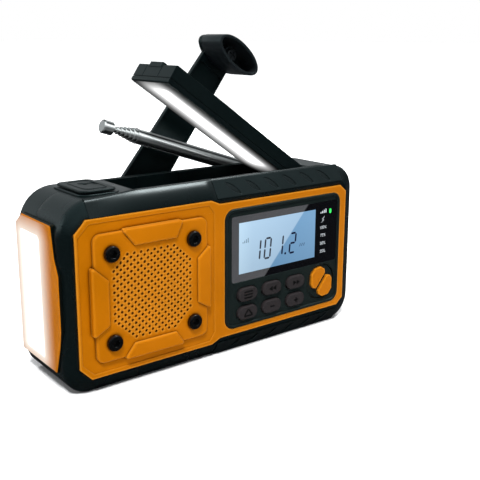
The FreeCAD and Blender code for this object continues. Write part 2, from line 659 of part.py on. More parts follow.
def top_button():
    x0, x1, y0, y1 = d.button_x0, d.button_x1, d.button_y0, d.button_y1
    base = plate("top_button_base", "z", "case_height - 0.5", "pad_base_top", button_seat())
    fillet(base, 0.4, lambda e: e.BoundBox.ZMin > d.pad_base_top - 0.01)
    pocket(base, "z", "case_height - 0.5", "pad_base_top", circle(-56.0, -2.7, 3.2))
    rubber = new_body("top_button")
    pad(rubber, "z", "pad_low", "pad_top", rectangle(x0, x1, y0, y1, 3.2))
    fillet(rubber, 0.5, lambda e: e.BoundBox.ZMin > d.pad_top - 0.01)
    pad(rubber, "z", 77.5, "pad_low", circle(-56.0, -2.7, 3.1))
    pocket(rubber, "z", "pad_top - 0.3", "pad_top", rectangle(-57.5, -51.0, -4.0, 1.2, 1.4))


def grip_pads():
    """Rubber grips over the right part of the top and bottom bevels, with slanted grooves."""
    lift = 0.6
    outer, inner = d.case_height, d.panel_mid_height + d.panel_right_half + 2.2
    front, back = d.case_front, d.case_front + d.front_bevel_y
    edge = [(front - 0.35, inner), (back - 0.2, outer + lift), (back + 0.8, outer + lift),
            (back + 0.8, outer), (back, outer), (front, inner + 0.1)]
    face = Part.Face(Part.makePolygon([FreeCAD.Vector(-5.5, y, z) for y, z in edge + edge[:1]]))
    strip = face.extrude(FreeCAD.Vector(76.5, 0, 0))
    lean = math.degrees(math.atan2(d.front_bevel_y, d.front_bevel_z))
    half_length, half_width = 5.0, 1.35
    arc = Part.Arc(FreeCAD.Vector(0, 0, -half_length), FreeCAD.Vector(half_width, 0, 0),
                   FreeCAD.Vector(0, 0, half_length)).toShape()
    chord = Part.makeLine(FreeCAD.Vector(0, 0, half_length), FreeCAD.Vector(0, 0, -half_length))
    lens = Part.Face(Part.Wire([arc, chord])).revolve(FreeCAD.Vector(), FreeCAD.Vector(0, 0, 1), 360)
    for k in range(6):
        groove = lens.copy()
        groove.rotate(FreeCAD.Vector(), FreeCAD.Vector(0, 1, 0), -48)
        groove.rotate(FreeCAD.Vector(), FreeCAD.Vector(1, 0, 0), -lean)
        groove.translate(FreeCAD.Vector(4.6 + 11.1 * k, (front + back) / 2 - 0.6, (inner + outer) / 2 + 0.2))
        strip = strip.cut(groove)
    case = Part.Face(Part.Wire([e.toShape() for e in case_outline(-lift)]))
    case.rotate(FreeCAD.Vector(), FreeCAD.Vector(1, 0, 0), 90)
    case = case.extrude(FreeCAD.Vector(0, -60, 0))
    case.translate(FreeCAD.Vector(0, 30, 0))
    strip = strip.common(case)
    strip = max(strip.Solids, key=lambda s: s.Volume)
    lower = strip.mirror(FreeCAD.Vector(0, 0, d.case_height / 2), FreeCAD.Vector(0, 0, 1))
    base = Part.makeBox(200, 60, 10, FreeCAD.Vector(-100, -30, -10))
    group("grip_pads", [strip, lower.cut(base).Solids[0]])


# ---------------------------------------------------------------- solar flap

def flap():
    x, z, half = d.flap_hinge_x, d.flap_hinge_z, d.flap_half
    tip = x - d.flap_length
    y0, y1 = d.flap_front, d.flap_rear
    side = rounded([(tip, z - half), (x + half - 0.01, z - half), (x + half - 0.01, z + half),
                    (tip, z + half)], [0.8, half - 0.02, half - 0.02, 0.8])
    body = new_body("flap_body")
    pad(body, "y", "flap_front", "flap_rear", side)
    pocket(body, "z", z + half - 1.4, z + half, rectangle(tip + 4.5, x - 6.0, y0 + 2.6, y1 - 2.6, 1.5))
    pocket(body, "z", z - half, z - half + 2.2, rectangle(tip + 6.5, x - 9.0, y0 + 7.5, y1 - 7.5, 3.0))
    pocket(body, "y", y0, y1, circle(x, z, 1.26))
    split, depth, end = z - half + d.flap_cover, 0.3, x - 8.0
    pocket(body, "z", split - 0.17, split + 0.17,
           rounded([(tip - 1, y0 - 1), (end, y0 - 1), (end, y0 + depth), (tip + depth, y0 + depth),
                    (tip + depth, y1 - depth), (end, y1 - depth), (end, y1 + 1), (tip - 1, y1 + 1)]))
    pocket(body, "x", tip, tip + depth, *[rectangle(y - 0.17, y + 0.17, split + 0.4, z + half)
                                          for y in (-8.3, 3.9)])
    latch = pad(body, "z", z + half - 1.5, z + half + 0.9, rectangle(tip - 0.3, tip + 2.2, -7.8, 2.7, 0.6))
    latch.Label = "latch_tab"
    solar = plate("solar_panel", "z", z + half - 1.4, z + half - 0.2,
                  rectangle(tip + 4.6, x - 6.1, y0 + 2.7, y1 - 2.7, 1.4))
    lamp = plate("lamp_lens", "z", z - half + 0.2, z - half + 2.2,
                 rectangle(tip + 6.6, x - 9.1, y0 + 7.6, y1 - 7.6, 2.9))
    for part in (body, solar, lamp):
        turn(part, d.flap_open, x, z)
    keep("flap_pin", cylinder("flap_pin", 1.2, "y", "tray_front + 0.1", "tray_rear - 0.1",
                              "flap_hinge_x", "flap_hinge_z"))


def flap_tray():
    body = new_body("flap_tray")
    pad(body, "z", "tray_low", "tray_top",
        rectangle(d.tray_left, d.tray_right, d.tray_front, d.tray_rear, 0.8))
    pocket(body, "z", "tray_floor", "case_height",
           rectangle(d.tray_left + 1.4, d.tray_right - 1.4, d.tray_front + 1.0, d.tray_rear - 1.4, 0.6))
    rib_face, rib_back = d.tray_rear - 1.8, d.tray_rear - 1.3
    pad(body, "z", "tray_floor", "tray_top - 0.3",
        *[rectangle(x - 0.3, x + 0.3, rib_face, rib_back) for x in (-23.7, -0.7)])
    pocket(body, "y", "tray_front + 0.1", "tray_rear - 0.1",
           circle(d.flap_hinge_x, d.flap_hinge_z, 1.2))


# ---------------------------------------------------------------- antenna

def tube(outer, inner, start, end):
    """Tube that lies to the left of the antenna pivot, between two distances from it."""
    at = FreeCAD.Vector(d.antenna_x - start, d.antenna_y, d.antenna_z)
    left = FreeCAD.Vector(-1, 0, 0)
    shape = Part.makeCylinder(outer, end - start, at, left)
    if inner:
        shape = shape.cut(Part.makeCylinder(inner, end - start, at, left))
    return shape


def raised(name, shape):
    """An antenna piece, turned up to its rest angle."""
    feature = doc.addObject("Part::Feature", name)
    feature.Shape = shape
    turn(feature, d.antenna_raised, d.antenna_x, d.antenna_z)
    return keep(name, feature)


def antenna():
    x, y, z = d.antenna_x, d.antenna_y, d.antenna_z
    block = Part.makeBox(7.2, 6.2, 0.8, FreeCAD.Vector(x - 3.6, y - 3.1, d.groove_floor))
    cheeks = [post(x, z, 2.9, y0, y0 + 1.3).fuse(
        Part.makeBox(5.8, 1.3, z - d.groove_floor, FreeCAD.Vector(x - 2.9, y0, d.groove_floor)))
        for y0 in (y - 3.1, y + 1.8)]
    bracket = block.fuse(cheeks).cut(post(x, z, 1.0, 0, 40)).removeSplitter()
    feature = doc.addObject("Part::Feature", "antenna_bracket")
    feature.Shape = bracket
    keep("antenna_bracket", feature)
    keep("antenna_pin", cylinder("antenna_pin", 1.0, "y", "antenna_y - 3.1", "antenna_y + 3.1",
                                 "antenna_x", "antenna_z"))
    tongue = post(x, z, 2.5, y - 1.7, y + 1.7).fuse(
        Part.makeBox(5.2, 3.4, 4.6, FreeCAD.Vector(x - 5.2, y - 1.7, z - 2.3)))
    root = tongue.fuse(tube(d.antenna_r, 0, 5.0, 10.0)).cut(post(x, z, 1.05, 0, 40))
    bore, wall, play = d.antenna_r, 0.2, 0.05
    raised("antenna_tube", root.fuse(tube(bore, bore - wall, 9.0, d.antenna_length)).removeSplitter())
    for k in range(1, SECTIONS + 1):
        bore -= wall + play
        inner = 0 if k == SECTIONS else bore - wall
        end = d.antenna_length + k * d.section_step
        section = tube(bore, inner, 11.0 + k, end)
        if k == SECTIONS:
            cap = tube(3.2, 0, end - 0.2, end + 5.2)
            rims = [e for e in cap.Edges if e.BoundBox.XLength < 0.01]
            section = section.fuse(cap.makeFillet(0.6, rims)).removeSplitter()
        raised(f"antenna_section_{k}", section)


# ---------------------------------------------------------------- hand crank

def crank_frame(obj):
    """Turn a crank piece that was drawn pointing right up to its rest angle about the hub."""
    turn(obj, -d.crank_angle, d.hub_x, d.hub_z)
    return obj


def crank():
    x, z = d.hub_x, d.hub_z
    end = x + d.crank_radius
    hub = new_body("crank_hub")
    pad(hub, "y", STAGE_ONE_Y, 25.6, circle(x, z, d.shaft_r))
    pad(hub, "y", 25.6, 27.4, circle(x, z, 13.4))
    ears = [rectangle(x - 3.2, x + 3.2, z + side * 11.2 - 1.7, z + side * 11.2 + 1.7) for side in (-1, 1)]
    pad(hub, "y", 27.4, "fold_y", *ears)
    doc.recompute()
    rounds = doc.addObject("Part::Feature", "ear_rounds")
    rounds.Shape = Part.makeCompound([
        Part.makeCylinder(3.2, 3.4, FreeCAD.Vector(x, d.fold_y, z + side * 11.2 - 1.7))
        for side in (-1, 1)])
    hole = cylinder("ear_hole", 1.3, "z", z - 20, z + 20, x, "fold_y")
    whole = cut("crank_hub_whole", fuse("crank_hub_ears", [hub, rounds]), hole)
    crank_frame(swap(hub, whole))
    crank_frame(keep("crank_pin", cylinder("crank_pin", 1.3, "z", z - 12.8, z + 12.8, x, "fold_y")))
    keep("crank_bushing", cut(
        "crank_bushing_ring",
        cylinder("bushing_outer", 6.5, "y", "case_rear - wall", "case_rear", "hub_x", "hub_z"),
        cylinder("bushing_bore", "shaft_r + 0.06", "y", 10, 40, "hub_x", "hub_z")))
    crank_arm(x, z, end)
    crank_knob(end, z)


def crank_arm(x, z, end):
    arm = new_body("crank_arm")
    outline = [(x + 0.4, z - 8.9), (x + 6.0, z - 8.9), (x + 9.0, z - 11.0), (end, z - 8.5),
               (end, z + 8.5), (x + 9.0, z + 11.0), (x + 6.0, z + 8.9), (x + 0.4, z + 8.9)]
    channel = [(x + 12.0, z - 9.9), (end - 9.0, z - 7.8), (end - 9.0, z + 7.8), (x + 12.0, z + 9.9)]
    pad(arm, "y", "arm_front", "arm_back", rounded(outline, [0, 0, 1.5, 0, 0, 1.5, 0, 0]))
    pad(arm, "y", "arm_front", "arm_back", ellipse_upright(end, z, d.knob_long - 0.2, d.knob_short - 0.2))
    fillet(arm, 1.2, lambda e: e.BoundBox.YMin > d.arm_back - 0.01 and e.BoundBox.XMax > x + 10)
    pocket(arm, "y", "arm_front", "arm_front + 0.8", rounded(channel, 1.5))
    doc.recompute()
    knuckle = cylinder("arm_knuckle", 2.6, "z", z - 8.9, z + 8.9, x, "fold_y")
    bore = cylinder("arm_bore", 1.36, "z", z - 20, z + 20, x, "fold_y")
    screw_hole = cylinder("arm_screw_hole", 1.5, "y", 20, 40, end, z)
    whole = cut("crank_arm_whole", fuse("crank_arm_knuckle", [arm, knuckle]), bore, screw_hole)
    crank_frame(swap(arm, whole))


def ellipse_upright(x, z, long_radius, short_radius):
    """Ellipse with its long axis along Z."""
    centre = FreeCAD.Vector(x, z, 0)
    return [Part.Ellipse(centre + FreeCAD.Vector(0, long_radius, 0),
                         centre + FreeCAD.Vector(short_radius, 0, 0), centre)]


def crank_knob(x, z):
    """Hollow oval knob that turns on a screw in a central boss."""
    knob = new_body("crank_knob")
    pad(knob, "y", "knob_rim", "knob_end", ellipse_upright(x, z, d.knob_long, d.knob_short))
    pocket(knob, "y", "knob_rim", "knob_end - 3.2",
           ellipse_upright(x, z, d.knob_long - 1.5, d.knob_short - 1.5))
    pad(knob, "y", 19.4, "knob_end", circle(x, z, 4.2))
    pocket(knob, "y", 19.4, "knob_end", circle(x, z, 1.6))
    crank_frame(knob)
    head = post(x, z, 3.0, 17.6, 19.3)
    head = head.makeFillet(0.6, [e for e in head.Edges if e.BoundBox.YMax < 17.61])
    slots = [Part.makeBox(4.0, 1.0, 0.8, FreeCAD.Vector(x - 2.0, 17.5, z - 0.4)),
             Part.makeBox(0.8, 1.0, 4.0, FreeCAD.Vector(x - 0.4, 17.5, z - 2.0))]
    screw = doc.addObject("Part::Feature", "knob_screw")
    screw.Shape = head.cut(slots).fuse(post(x, z, 1.5, 19.3, d.arm_back)).removeSplitter()
    crank_frame(keep("knob_screw", screw))


def housing_screws():
    group("housing_screws", [
        post(x, z, 2.5, 23.4, 25.2).fuse(post(x, z, 1.0, -12.0, 23.4)).cut(
            Part.makeBox(3.2, 1.0, 0.7, FreeCAD.Vector(x - 1.6, 24.6, z - 0.35))).removeSplitter().Solids[0]
        for x, z in SCREW_POSTS])


# ---------------------------------------------------------------- build

BUILDERS = (
    front_shell, rear_shell, front_panel, speaker_grille, grille_clamps, grille_screws, display,
    buttons, selector, speaker, electronics, gear_train, end_light, top_button, grip_pads, flap,
    flap_tray, antenna, crank, housing_screws,
)


def check_document():
    for obj in doc.Objects:
        if {"Invalid", "Error"} & set(obj.State):
            raise RuntimeError(f"{obj.Name} failed: {obj.State}")
    for name, obj in nodes.items():
        if obj.Shape.isNull() or not obj.Shape.isValid() or obj.Shape.Volume <= 0:
            raise RuntimeError(f"{name} has no valid shape")


for build in BUILDERS:
    build()
    doc.recompute()
check_document()
os.makedirs("parts", exist_ok=True)
for name, obj in nodes.items():
    obj.Shape.exportStep(f"parts/{name}.step")
print(len(nodes), "sub-parts")
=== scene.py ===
import json
import math

import bmesh
import bpy
from mathutils import Matrix, Vector


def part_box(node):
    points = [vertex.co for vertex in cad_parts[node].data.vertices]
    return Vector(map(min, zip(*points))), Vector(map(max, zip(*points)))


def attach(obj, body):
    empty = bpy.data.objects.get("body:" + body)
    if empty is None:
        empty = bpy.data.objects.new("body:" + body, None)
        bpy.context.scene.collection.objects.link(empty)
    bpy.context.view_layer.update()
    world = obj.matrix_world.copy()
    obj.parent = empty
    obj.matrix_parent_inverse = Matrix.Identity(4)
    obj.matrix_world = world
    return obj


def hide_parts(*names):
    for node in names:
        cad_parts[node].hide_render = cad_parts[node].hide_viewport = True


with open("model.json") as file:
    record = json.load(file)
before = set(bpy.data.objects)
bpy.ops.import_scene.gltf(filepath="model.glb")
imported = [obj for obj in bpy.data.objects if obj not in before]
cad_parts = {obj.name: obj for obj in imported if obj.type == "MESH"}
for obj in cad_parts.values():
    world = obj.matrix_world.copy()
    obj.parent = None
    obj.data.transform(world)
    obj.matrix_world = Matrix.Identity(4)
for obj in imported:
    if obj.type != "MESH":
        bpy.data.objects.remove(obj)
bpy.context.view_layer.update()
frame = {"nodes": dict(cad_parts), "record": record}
NODES = frame["nodes"]
MM = 0.001
PI = math.pi


# ---------------------------------------------------------------- node helpers

# sockets of a mix node that hold its two colours and its result
MIX_LOW = 6
MIX_HIGH = 7
MIX_RESULT = 2


def new_material(name):
    material = bpy.data.materials.new(name)
    material.use_nodes = True
    return material, material.node_tree.nodes, material.node_tree.links


def mix_colour(nodes, links, factor, low, high):
    """Colour between low and high by factor, a socket; returns the output socket."""
    mix = nodes.new("ShaderNodeMix")
    mix.data_type = "RGBA"
    links.new(factor, mix.inputs["Factor"])
    for index, value in ((MIX_LOW, low), (MIX_HIGH, high)):
        if isinstance(value, tuple):
            mix.inputs[index].default_value = (*value, 1.0)
        else:
            links.new(value, mix.inputs[index])
    return mix.outputs[MIX_RESULT]


def ramp(nodes, links, source, low, high, low_value=0.0, high_value=1.0):
    """source mapped from low..high to low_value..high_value, clamped."""
    node = nodes.new("ShaderNodeMapRange")
    links.new(source, node.inputs["Value"])
    limits = {"From Min": low, "From Max": high, "To Min": low_value, "To Max": high_value}
    for key, value in limits.items():
        node.inputs[key].default_value = value
    return node.outputs["Result"]


def calc(nodes, links, operation, first, second=None):
    """One maths node; each operand is a socket or a number."""
    node = nodes.new("ShaderNodeMath")
    node.operation = operation
    for index, value in enumerate((first, second)):
        if value is None:
            continue
        if isinstance(value, (int, float)):
            node.inputs[index].default_value = value
        else:
            links.new(value, node.inputs[index])
    return node.outputs[0]


def dot_product(nodes, links, first, second):
    """How far the vector of the socket first reaches along second, a socket or a fixed vector."""
    node = nodes.new("ShaderNodeVectorMath")
    node.operation = "DOT_PRODUCT"
    links.new(first, node.inputs[0])
    if isinstance(second, tuple):
        node.inputs[1].default_value = second
    else:
        links.new(second, node.inputs[1])
    return node.outputs["Value"]


def noise(nodes, links, scale, detail=3.0):
    """Noise in object space; scale is features per metre."""
    place = nodes.new("ShaderNodeTexCoord")
    node = nodes.new("ShaderNodeTexNoise")
    node.inputs["Scale"].default_value = scale
    node.inputs["Detail"].default_value = detail
    links.new(place.outputs["Object"], node.inputs["Vector"])
    return node.outputs["Fac"]


def along(nodes, links, direction, origin=(0, 0, 0)):
    """Distance in millimetres along direction from origin, in object space."""
    place = nodes.new("ShaderNodeTexCoord")
    shift = nodes.new("ShaderNodeVectorMath")
    shift.operation = "SUBTRACT"
    shift.inputs[1].default_value = tuple(c * MM for c in origin)
    links.new(place.outputs["Object"], shift.inputs[0])
    return dot_product(nodes, links, shift.outputs[0], tuple(c / MM for c in direction))


# how well a bevelled normal agrees with the true one on a flat stretch and on a full edge
AGREES_ON_FLAT = 0.995
AGREES_ON_EDGE = 0.85


def edge_mask(nodes, links, radius):
    """1 on outer edges and 0 on flat stretches, and the bevel node that finds them."""
    bevel = nodes.new("ShaderNodeBevel")
    bevel.inputs["Radius"].default_value = radius
    shape = nodes.new("ShaderNodeNewGeometry")
    agreement = dot_product(nodes, links, bevel.outputs["Normal"], shape.outputs["Normal"])
    return ramp(nodes, links, agreement, AGREES_ON_FLAT, AGREES_ON_EDGE), bevel


# painted light on the orange parts: the colour of the painted shade in creases and of the painted highlight
# on rims, how far the rims reach as a share of the creases' distance, and how strongly they are coloured
CREASE_SHADE_COLOUR = (0.085, 0.020, 0.0)
RIM_HIGHLIGHT_COLOUR = (0.72, 0.30, 0.03)
RIM_REACH = 0.6
RIM_SHARE = 0.55
RELIEF_SAMPLES = 8


def painted_shade_and_highlight(nodes, links, colour, distance):
    """colour with painted shade in creases and a painted highlight on outer edges, within a distance in
    metres.
    """
    crease = nodes.new("ShaderNodeAmbientOcclusion")
    rim = nodes.new("ShaderNodeAmbientOcclusion")
    rim.inside = True
    for node, reach in ((crease, distance), (rim, distance * RIM_REACH)):
        node.samples = RELIEF_SAMPLES
        node.inputs["Distance"].default_value = reach
    crease_shade = ramp(nodes, links, crease.outputs["AO"], 0.45, 0.9, 1.0, 0.0)
    rim_highlight = ramp(nodes, links, rim.outputs["AO"], 0.55, 0.95, RIM_SHARE, 0.0)
    dark = mix_colour(nodes, links, crease_shade, colour, CREASE_SHADE_COLOUR)
    return mix_colour(nodes, links, rim_highlight, dark, RIM_HIGHLIGHT_COLOUR)


# ---------------------------------------------------------------- materials

# size of the slow tone variation of plastics, in features per metre
CLOUDS = 38.0


def darker(colour, factor):
    return tuple(c * factor for c in colour)


def brighter(colour, factor, lift):
    return tuple(min(1.0, c * factor + lift) for c in colour)


def plastic(name, colour, roughness, grain=2600.0, depth=0.00002, edge=0.00035, edge_wear_and_highlight=0.12,
            specular=0.5, sheen_tint=(1.0, 1.0, 1.0), crease=0.0):
    """Moulded plastic: fine grain, slow tone variation, softened edges lightened by rubbed wear and a
    painted edge highlight.

    grain is in features per metre; the depth of the grain, the radius of the softened edge and
    the reach of the painted crease shade are in metres.
    """
    material, nodes, links = new_material(name)
    shader = nodes["Principled BSDF"]
    mask, bevel = edge_mask(nodes, links, edge)
    cloud = noise(nodes, links, CLOUDS)
    varied = mix_colour(nodes, links, ramp(nodes, links, cloud, 0.35, 0.65),
                        darker(colour, 0.93), brighter(colour, 1.08, 0.0005))
    # edges lightened: rubbed wear and a painted edge highlight
    worn_and_lit_edges = calc(nodes, links, "MULTIPLY", mask, edge_wear_and_highlight)
    tone = mix_colour(nodes, links, worn_and_lit_edges, varied, brighter(colour, 1.30, 0.02))
    # painted shade in creases and a painted highlight on rims, reaching as far as crease
    if crease:
        tone = painted_shade_and_highlight(nodes, links, tone, crease)
    links.new(tone, shader.inputs["Base Color"])
    fine = noise(nodes, links, grain, detail=2.0)
    uneven = ramp(nodes, links, cloud, 0.3, 0.7, roughness * 0.92, min(1.0, roughness * 1.10))
    links.new(uneven, shader.inputs["Roughness"])
    bump = nodes.new("ShaderNodeBump")
    bump.inputs["Distance"].default_value = depth
    bump.inputs["Strength"].default_value = 0.5
    links.new(fine, bump.inputs["Height"])
    links.new(bevel.outputs["Normal"], bump.inputs["Normal"])
    links.new(bump.outputs["Normal"], shader.inputs["Normal"])
    shader.inputs["Specular IOR Level"].default_value = specular
    shader.inputs["Specular Tint"].default_value = (*sheen_tint, 1.0)
    return material


def metal(name, colour, roughness, metallic=1.0):
    """Bare or plated metal with a fine variation of tone and gloss."""
    material, nodes, links = new_material(name)
    shader = nodes["Principled BSDF"]
    shader.inputs["Metallic"].default_value = metallic
    _, bevel = edge_mask(nodes, links, 0.0002)
    cloud = noise(nodes, links, 900.0)
    links.new(mix_colour(nodes, links, cloud, darker(colour, 0.85), colour), shader.inputs["Base Color"])
    uneven = ramp(nodes, links, cloud, 0.3, 0.7, roughness * 0.7, roughness * 1.4)
    links.new(uneven, shader.inputs["Roughness"])
    links.new(bevel.outputs["Normal"], shader.inputs["Normal"])
    return material


def glowing(name, colour, strength):
    """Lit diffuser: bright, with a slightly cloudy body."""
    material, nodes, links = new_material(name)
    shader = nodes["Principled BSDF"]
    cloud = noise(nodes, links, 120.0)
    tone = mix_colour(nodes, links, cloud, darker(colour, 0.925), colour)
    links.new(tone, shader.inputs["Base Color"])
    links.new(tone, shader.inputs["Emission Color"])
    shader.inputs["Emission Strength"].default_value = strength
    shader.inputs["Roughness"].default_value = 0.35
    return material


# the slanted edge of the painted sheen, a painted reflection, on the display glass: a point on it,
# its unit normal and half the width of its soft edge, all in mm
SHEEN_AT = (35.5, -25.1, 49.4)
SHEEN_NORMAL = (0.751, 0.0, -0.660)
SHEEN_SOFTNESS = 0.35


def sheen(nodes, links):
    """0 on the pale upper left of the glass, 1 on the deep lower right."""
    away = along(nodes, links, SHEEN_NORMAL, SHEEN_AT)
    return ramp(nodes, links, away, -SHEEN_SOFTNESS, SHEEN_SOFTNESS)


def glass(name):
    """Black display glass whose upper left half carries a pale sheen, painted into its colour as a painted
    reflection.
    """
    material, nodes, links = new_material(name)
    shader = nodes["Principled BSDF"]
    sheen_mottle = ramp(nodes, links, noise(nodes, links, 20.0), 0.3, 0.7)
    pale = mix_colour(nodes, links, sheen_mottle, (0.055, 0.056, 0.060), (0.070, 0.071, 0.076))
    # painted reflection: pale on the upper left, near black on the lower right
    links.new(mix_colour(nodes, links, sheen(nodes, links), pale, (0.002, 0.002, 0.003)),
              shader.inputs["Base Color"])
    shader.inputs["Roughness"].default_value = 0.12
    shader.inputs["Specular IOR Level"].default_value = 0.25
    return material


# the stretches in mm over which the lit display changes: from left to right, from its pale
# left edge inwards, and from bottom to top
LCD_ACROSS = (6.0, 54.0)
LCD_LEFT_EDGE = (6.0, 14.0)
LCD_UPWARDS = (37.0, 61.0)


def liquid_crystal(name):
    """Lit display: pale blue at the left, deeper to the right and past the edge of the sheen."""
    material, nodes, links = new_material(name)
    shader = nodes["Principled BSDF"]
    across = ramp(nodes, links, along(nodes, links, (1, 0, 0)), *LCD_ACROSS)
    pale = mix_colour(nodes, links, across, (0.49, 0.68, 0.86), (0.36, 0.53, 0.72))
    deep = mix_colour(nodes, links, across, (0.13, 0.30, 0.52), (0.20, 0.38, 0.60))
    tone = mix_colour(nodes, links, sheen(nodes, links), pale, deep)
    edge = ramp(nodes, links, along(nodes, links, (1, 0, 0)), *LCD_LEFT_EDGE, 0.5, 0.0)
    tone = mix_colour(nodes, links, edge, tone, (0.62, 0.84, 1.0))
    strength = ramp(nodes, links, along(nodes, links, (0, 0, 1)), *LCD_UPWARDS, 0.80, 1.0)
    shader.inputs["Base Color"].default_value = (0.01, 0.02, 0.03, 1.0)
    links.new(tone, shader.inputs["Emission Color"])
    links.new(strength, shader.inputs["Emission Strength"])
    shader.inputs["Roughness"].default_value = 0.3
    shader.inputs["Specular IOR Level"].default_value = 0.1
    return material


def halo(name, colour, strength, falloff):
    """Light scattered in front of a lamp, seen by the camera only and weakened by falloff(nodes, links)."""
    material, nodes, links = new_material(name)
    nodes.remove(nodes["Principled BSDF"])
    clear = nodes.new("ShaderNodeBsdfTransparent")
    glow = nodes.new("ShaderNodeEmission")
    glow.inputs["Color"].default_value = (*colour, 1.0)
    glow.inputs["Strength"].default_value = strength
    path = nodes.new("ShaderNodeLightPath")
    share = calc(nodes, links, "MULTIPLY", falloff(nodes, links), path.outputs["Is Camera Ray"])
    mix = nodes.new("ShaderNodeMixShader")
    links.new(share, mix.inputs[0])
    links.new(clear.outputs[0], mix.inputs[1])
    links.new(glow.outputs[0], mix.inputs[2])
    links.new(mix.outputs[0], nodes["Material Output"].inputs["Surface"])
    return material


def solar_cells(name):
    """Deep blue crystal facets behind a clear coat."""
    material, nodes, links = new_material(name)
    shader = nodes["Principled BSDF"]
    place = nodes.new("ShaderNodeTexCoord")
    facets = nodes.new("ShaderNodeTexVoronoi")
    facets.inputs["Scale"].default_value = 160.0
    links.new(place.outputs["Object"], facets.inputs["Vector"])
    shade = nodes.new("ShaderNodeSeparateColor")
    links.new(facets.outputs["Color"], shade.inputs[0])
    links.new(mix_colour(nodes, links, shade.outputs[0], (0.004, 0.008, 0.030), (0.010, 0.022, 0.085)),
              shader.inputs["Base Color"])
    shader.inputs["Roughness"].default_value = 0.35
    shader.inputs["Coat Weight"].default_value = 0.8
    shader.inputs["Coat Roughness"].default_value = 0.05
    return material


# base colours that several materials share, and the cool tint of the black parts' shine
ORANGE = (0.405, 0.120, 0.0001)
BLACK = (0.0012, 0.0034, 0.0036)
COOL = (0.70, 0.97, 1.0)
MATERIALS = {
    "case_black": plastic("case_black", BLACK, 0.30, edge_wear_and_highlight=0.03, specular=0.55, sheen_tint=COOL),
    "panel_orange": plastic("panel_orange", ORANGE, 0.30, edge_wear_and_highlight=0.20, specular=0.17,
                            sheen_tint=(1.0, 0.55, 0.04), crease=0.0016),
    "bezel_black": plastic("bezel_black", (0.0062, 0.0102, 0.0092), 0.34, grain=5200.0, edge_wear_and_highlight=0.05,
                           sheen_tint=COOL),
    "button_grey": plastic("button_grey", (0.0200, 0.0165, 0.0175), 0.60, edge_wear_and_highlight=0.2, specular=0.25),
    "window_gloss": glass("window_gloss"),
    "lcd": liquid_crystal("lcd"),
    "led_green": glowing("led_green", (0.02, 0.62, 0.08), 0.9),
    "screw_black": plastic("screw_black", (0.0012, 0.0014, 0.0016), 0.20, edge_wear_and_highlight=0.02),
    "screw_steel": metal("screw_steel", (0.16, 0.17, 0.18), 0.35),
    "grip_rubber": plastic("grip_rubber", (0.0030, 0.0052, 0.0054), 0.34, edge_wear_and_highlight=0.05, sheen_tint=COOL),
    "circuit_green": plastic("circuit_green", (0.01, 0.12, 0.04), 0.35),
    "speaker_cone": plastic("speaker_cone", (0.02, 0.02, 0.02), 0.8),
    "cell_wrap": plastic("cell_wrap", (0.02, 0.10, 0.40), 0.25),
    "gear_white": plastic("gear_white", (0.75, 0.75, 0.70), 0.4),
    "bush_brass": metal("bush_brass", (0.65, 0.45, 0.18), 0.35),
    "can_steel": metal("can_steel", (0.5, 0.5, 0.5), 0.35),
    "lens_white": glowing("lens_white", (0.94, 0.97, 1.0), 3.0),
    "reflector": metal("reflector", (0.85, 0.86, 0.88), 0.12),
    "solar_blue": solar_cells("solar_blue"),
    "antenna_chrome": metal("antenna_chrome", (0.56, 0.61, 0.61), 0.12, metallic=0.90),
}

# materials of single parts: the front shell with its wide soft edges, the bevel above its front,
# the top button, and the crank knob, whose lighter black is painted light for its lit cup
SHELL = plastic("shell_black", BLACK, 0.27, edge_wear_and_highlight=0.02, edge=0.0030, specular=0.6, sheen_tint=COOL)
RIM = plastic("rim_black", BLACK, 0.27, edge_wear_and_highlight=0.0, edge=0.0002, specular=0.6,
              sheen_tint=(0.84, 0.98, 1.0))
PAD = plastic("pad_black", (0.0030, 0.0048, 0.0050), 0.40, edge_wear_and_highlight=0.05, sheen_tint=COOL)
# the crank knob: a lighter black that paints in the light its cup catches
LIT_CUP = plastic("cup_lit_black", (0.0085, 0.0105, 0.0120), 0.30, edge_wear_and_highlight=0.05, sheen_tint=COOL)
OWN_MATERIAL = {"front_shell": SHELL, "top_button": PAD, "crank_knob": LIT_CUP}
SLOT_OF = {part["node"]: part["material_slot"] for part in frame["record"]["subparts"]}


def paint(obj, material):
    obj.data.materials.clear()
    obj.data.materials.append(material)


for node, obj in NODES.items():
    paint(obj, OWN_MATERIAL.get(node, MATERIALS[SLOT_OF[node]]))


# ---------------------------------------------------------------- rounded mouldings

# width in mm of the rounding of each moulded part's hard edges
MOULDED = {
    "front_panel": 0.22, "flap_body": 0.35, "crank_arm": 0.4, "crank_hub": 0.4, "flap_tray": 0.25,
    "battery_door": 0.3, "port_cover": 0.3, "crank_knob": 0.35,
}


def soften(obj, width):
    """Round the hard edges of a moulded part: join its facets, clear its flat faces, then bevel."""
    weld = obj.modifiers.new("weld", "WELD")
    weld.merge_threshold = 1e-6
    flat = obj.modifiers.new("flat", "DECIMATE")
    flat.decimate_type = "DISSOLVE"
    flat.angle_limit = math.radians(0.5)
    bevel = obj.modifiers.new("bevel", "BEVEL")
    bevel.width = width * MM
    bevel.segments = 3
    bevel.limit_method = "ANGLE"
    bevel.angle_limit = math.radians(22)
    bevel.use_clamp_overlap = True


for node, width in MOULDED.items():
    soften(NODES[node], width)


# ---------------------------------------------------------------- building pieces

def piece(name, mesh_maker, body, slot, material=None):
    """A mesh object that moves with a CAD body and takes the given material, or else the material of its
    slot.
    """
    mesh = bpy.data.meshes.new(name)
    shape = bmesh.new()
    mesh_maker(shape)
    bmesh.ops.recalc_face_normals(shape, faces=shape.faces)
    shape.to_mesh(mesh)
    shape.free()
    obj = bpy.data.objects.new(name, mesh)
    bpy.context.scene.collection.objects.link(obj)
    paint(obj, material or MATERIALS[slot])
    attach(obj, body)
    return obj


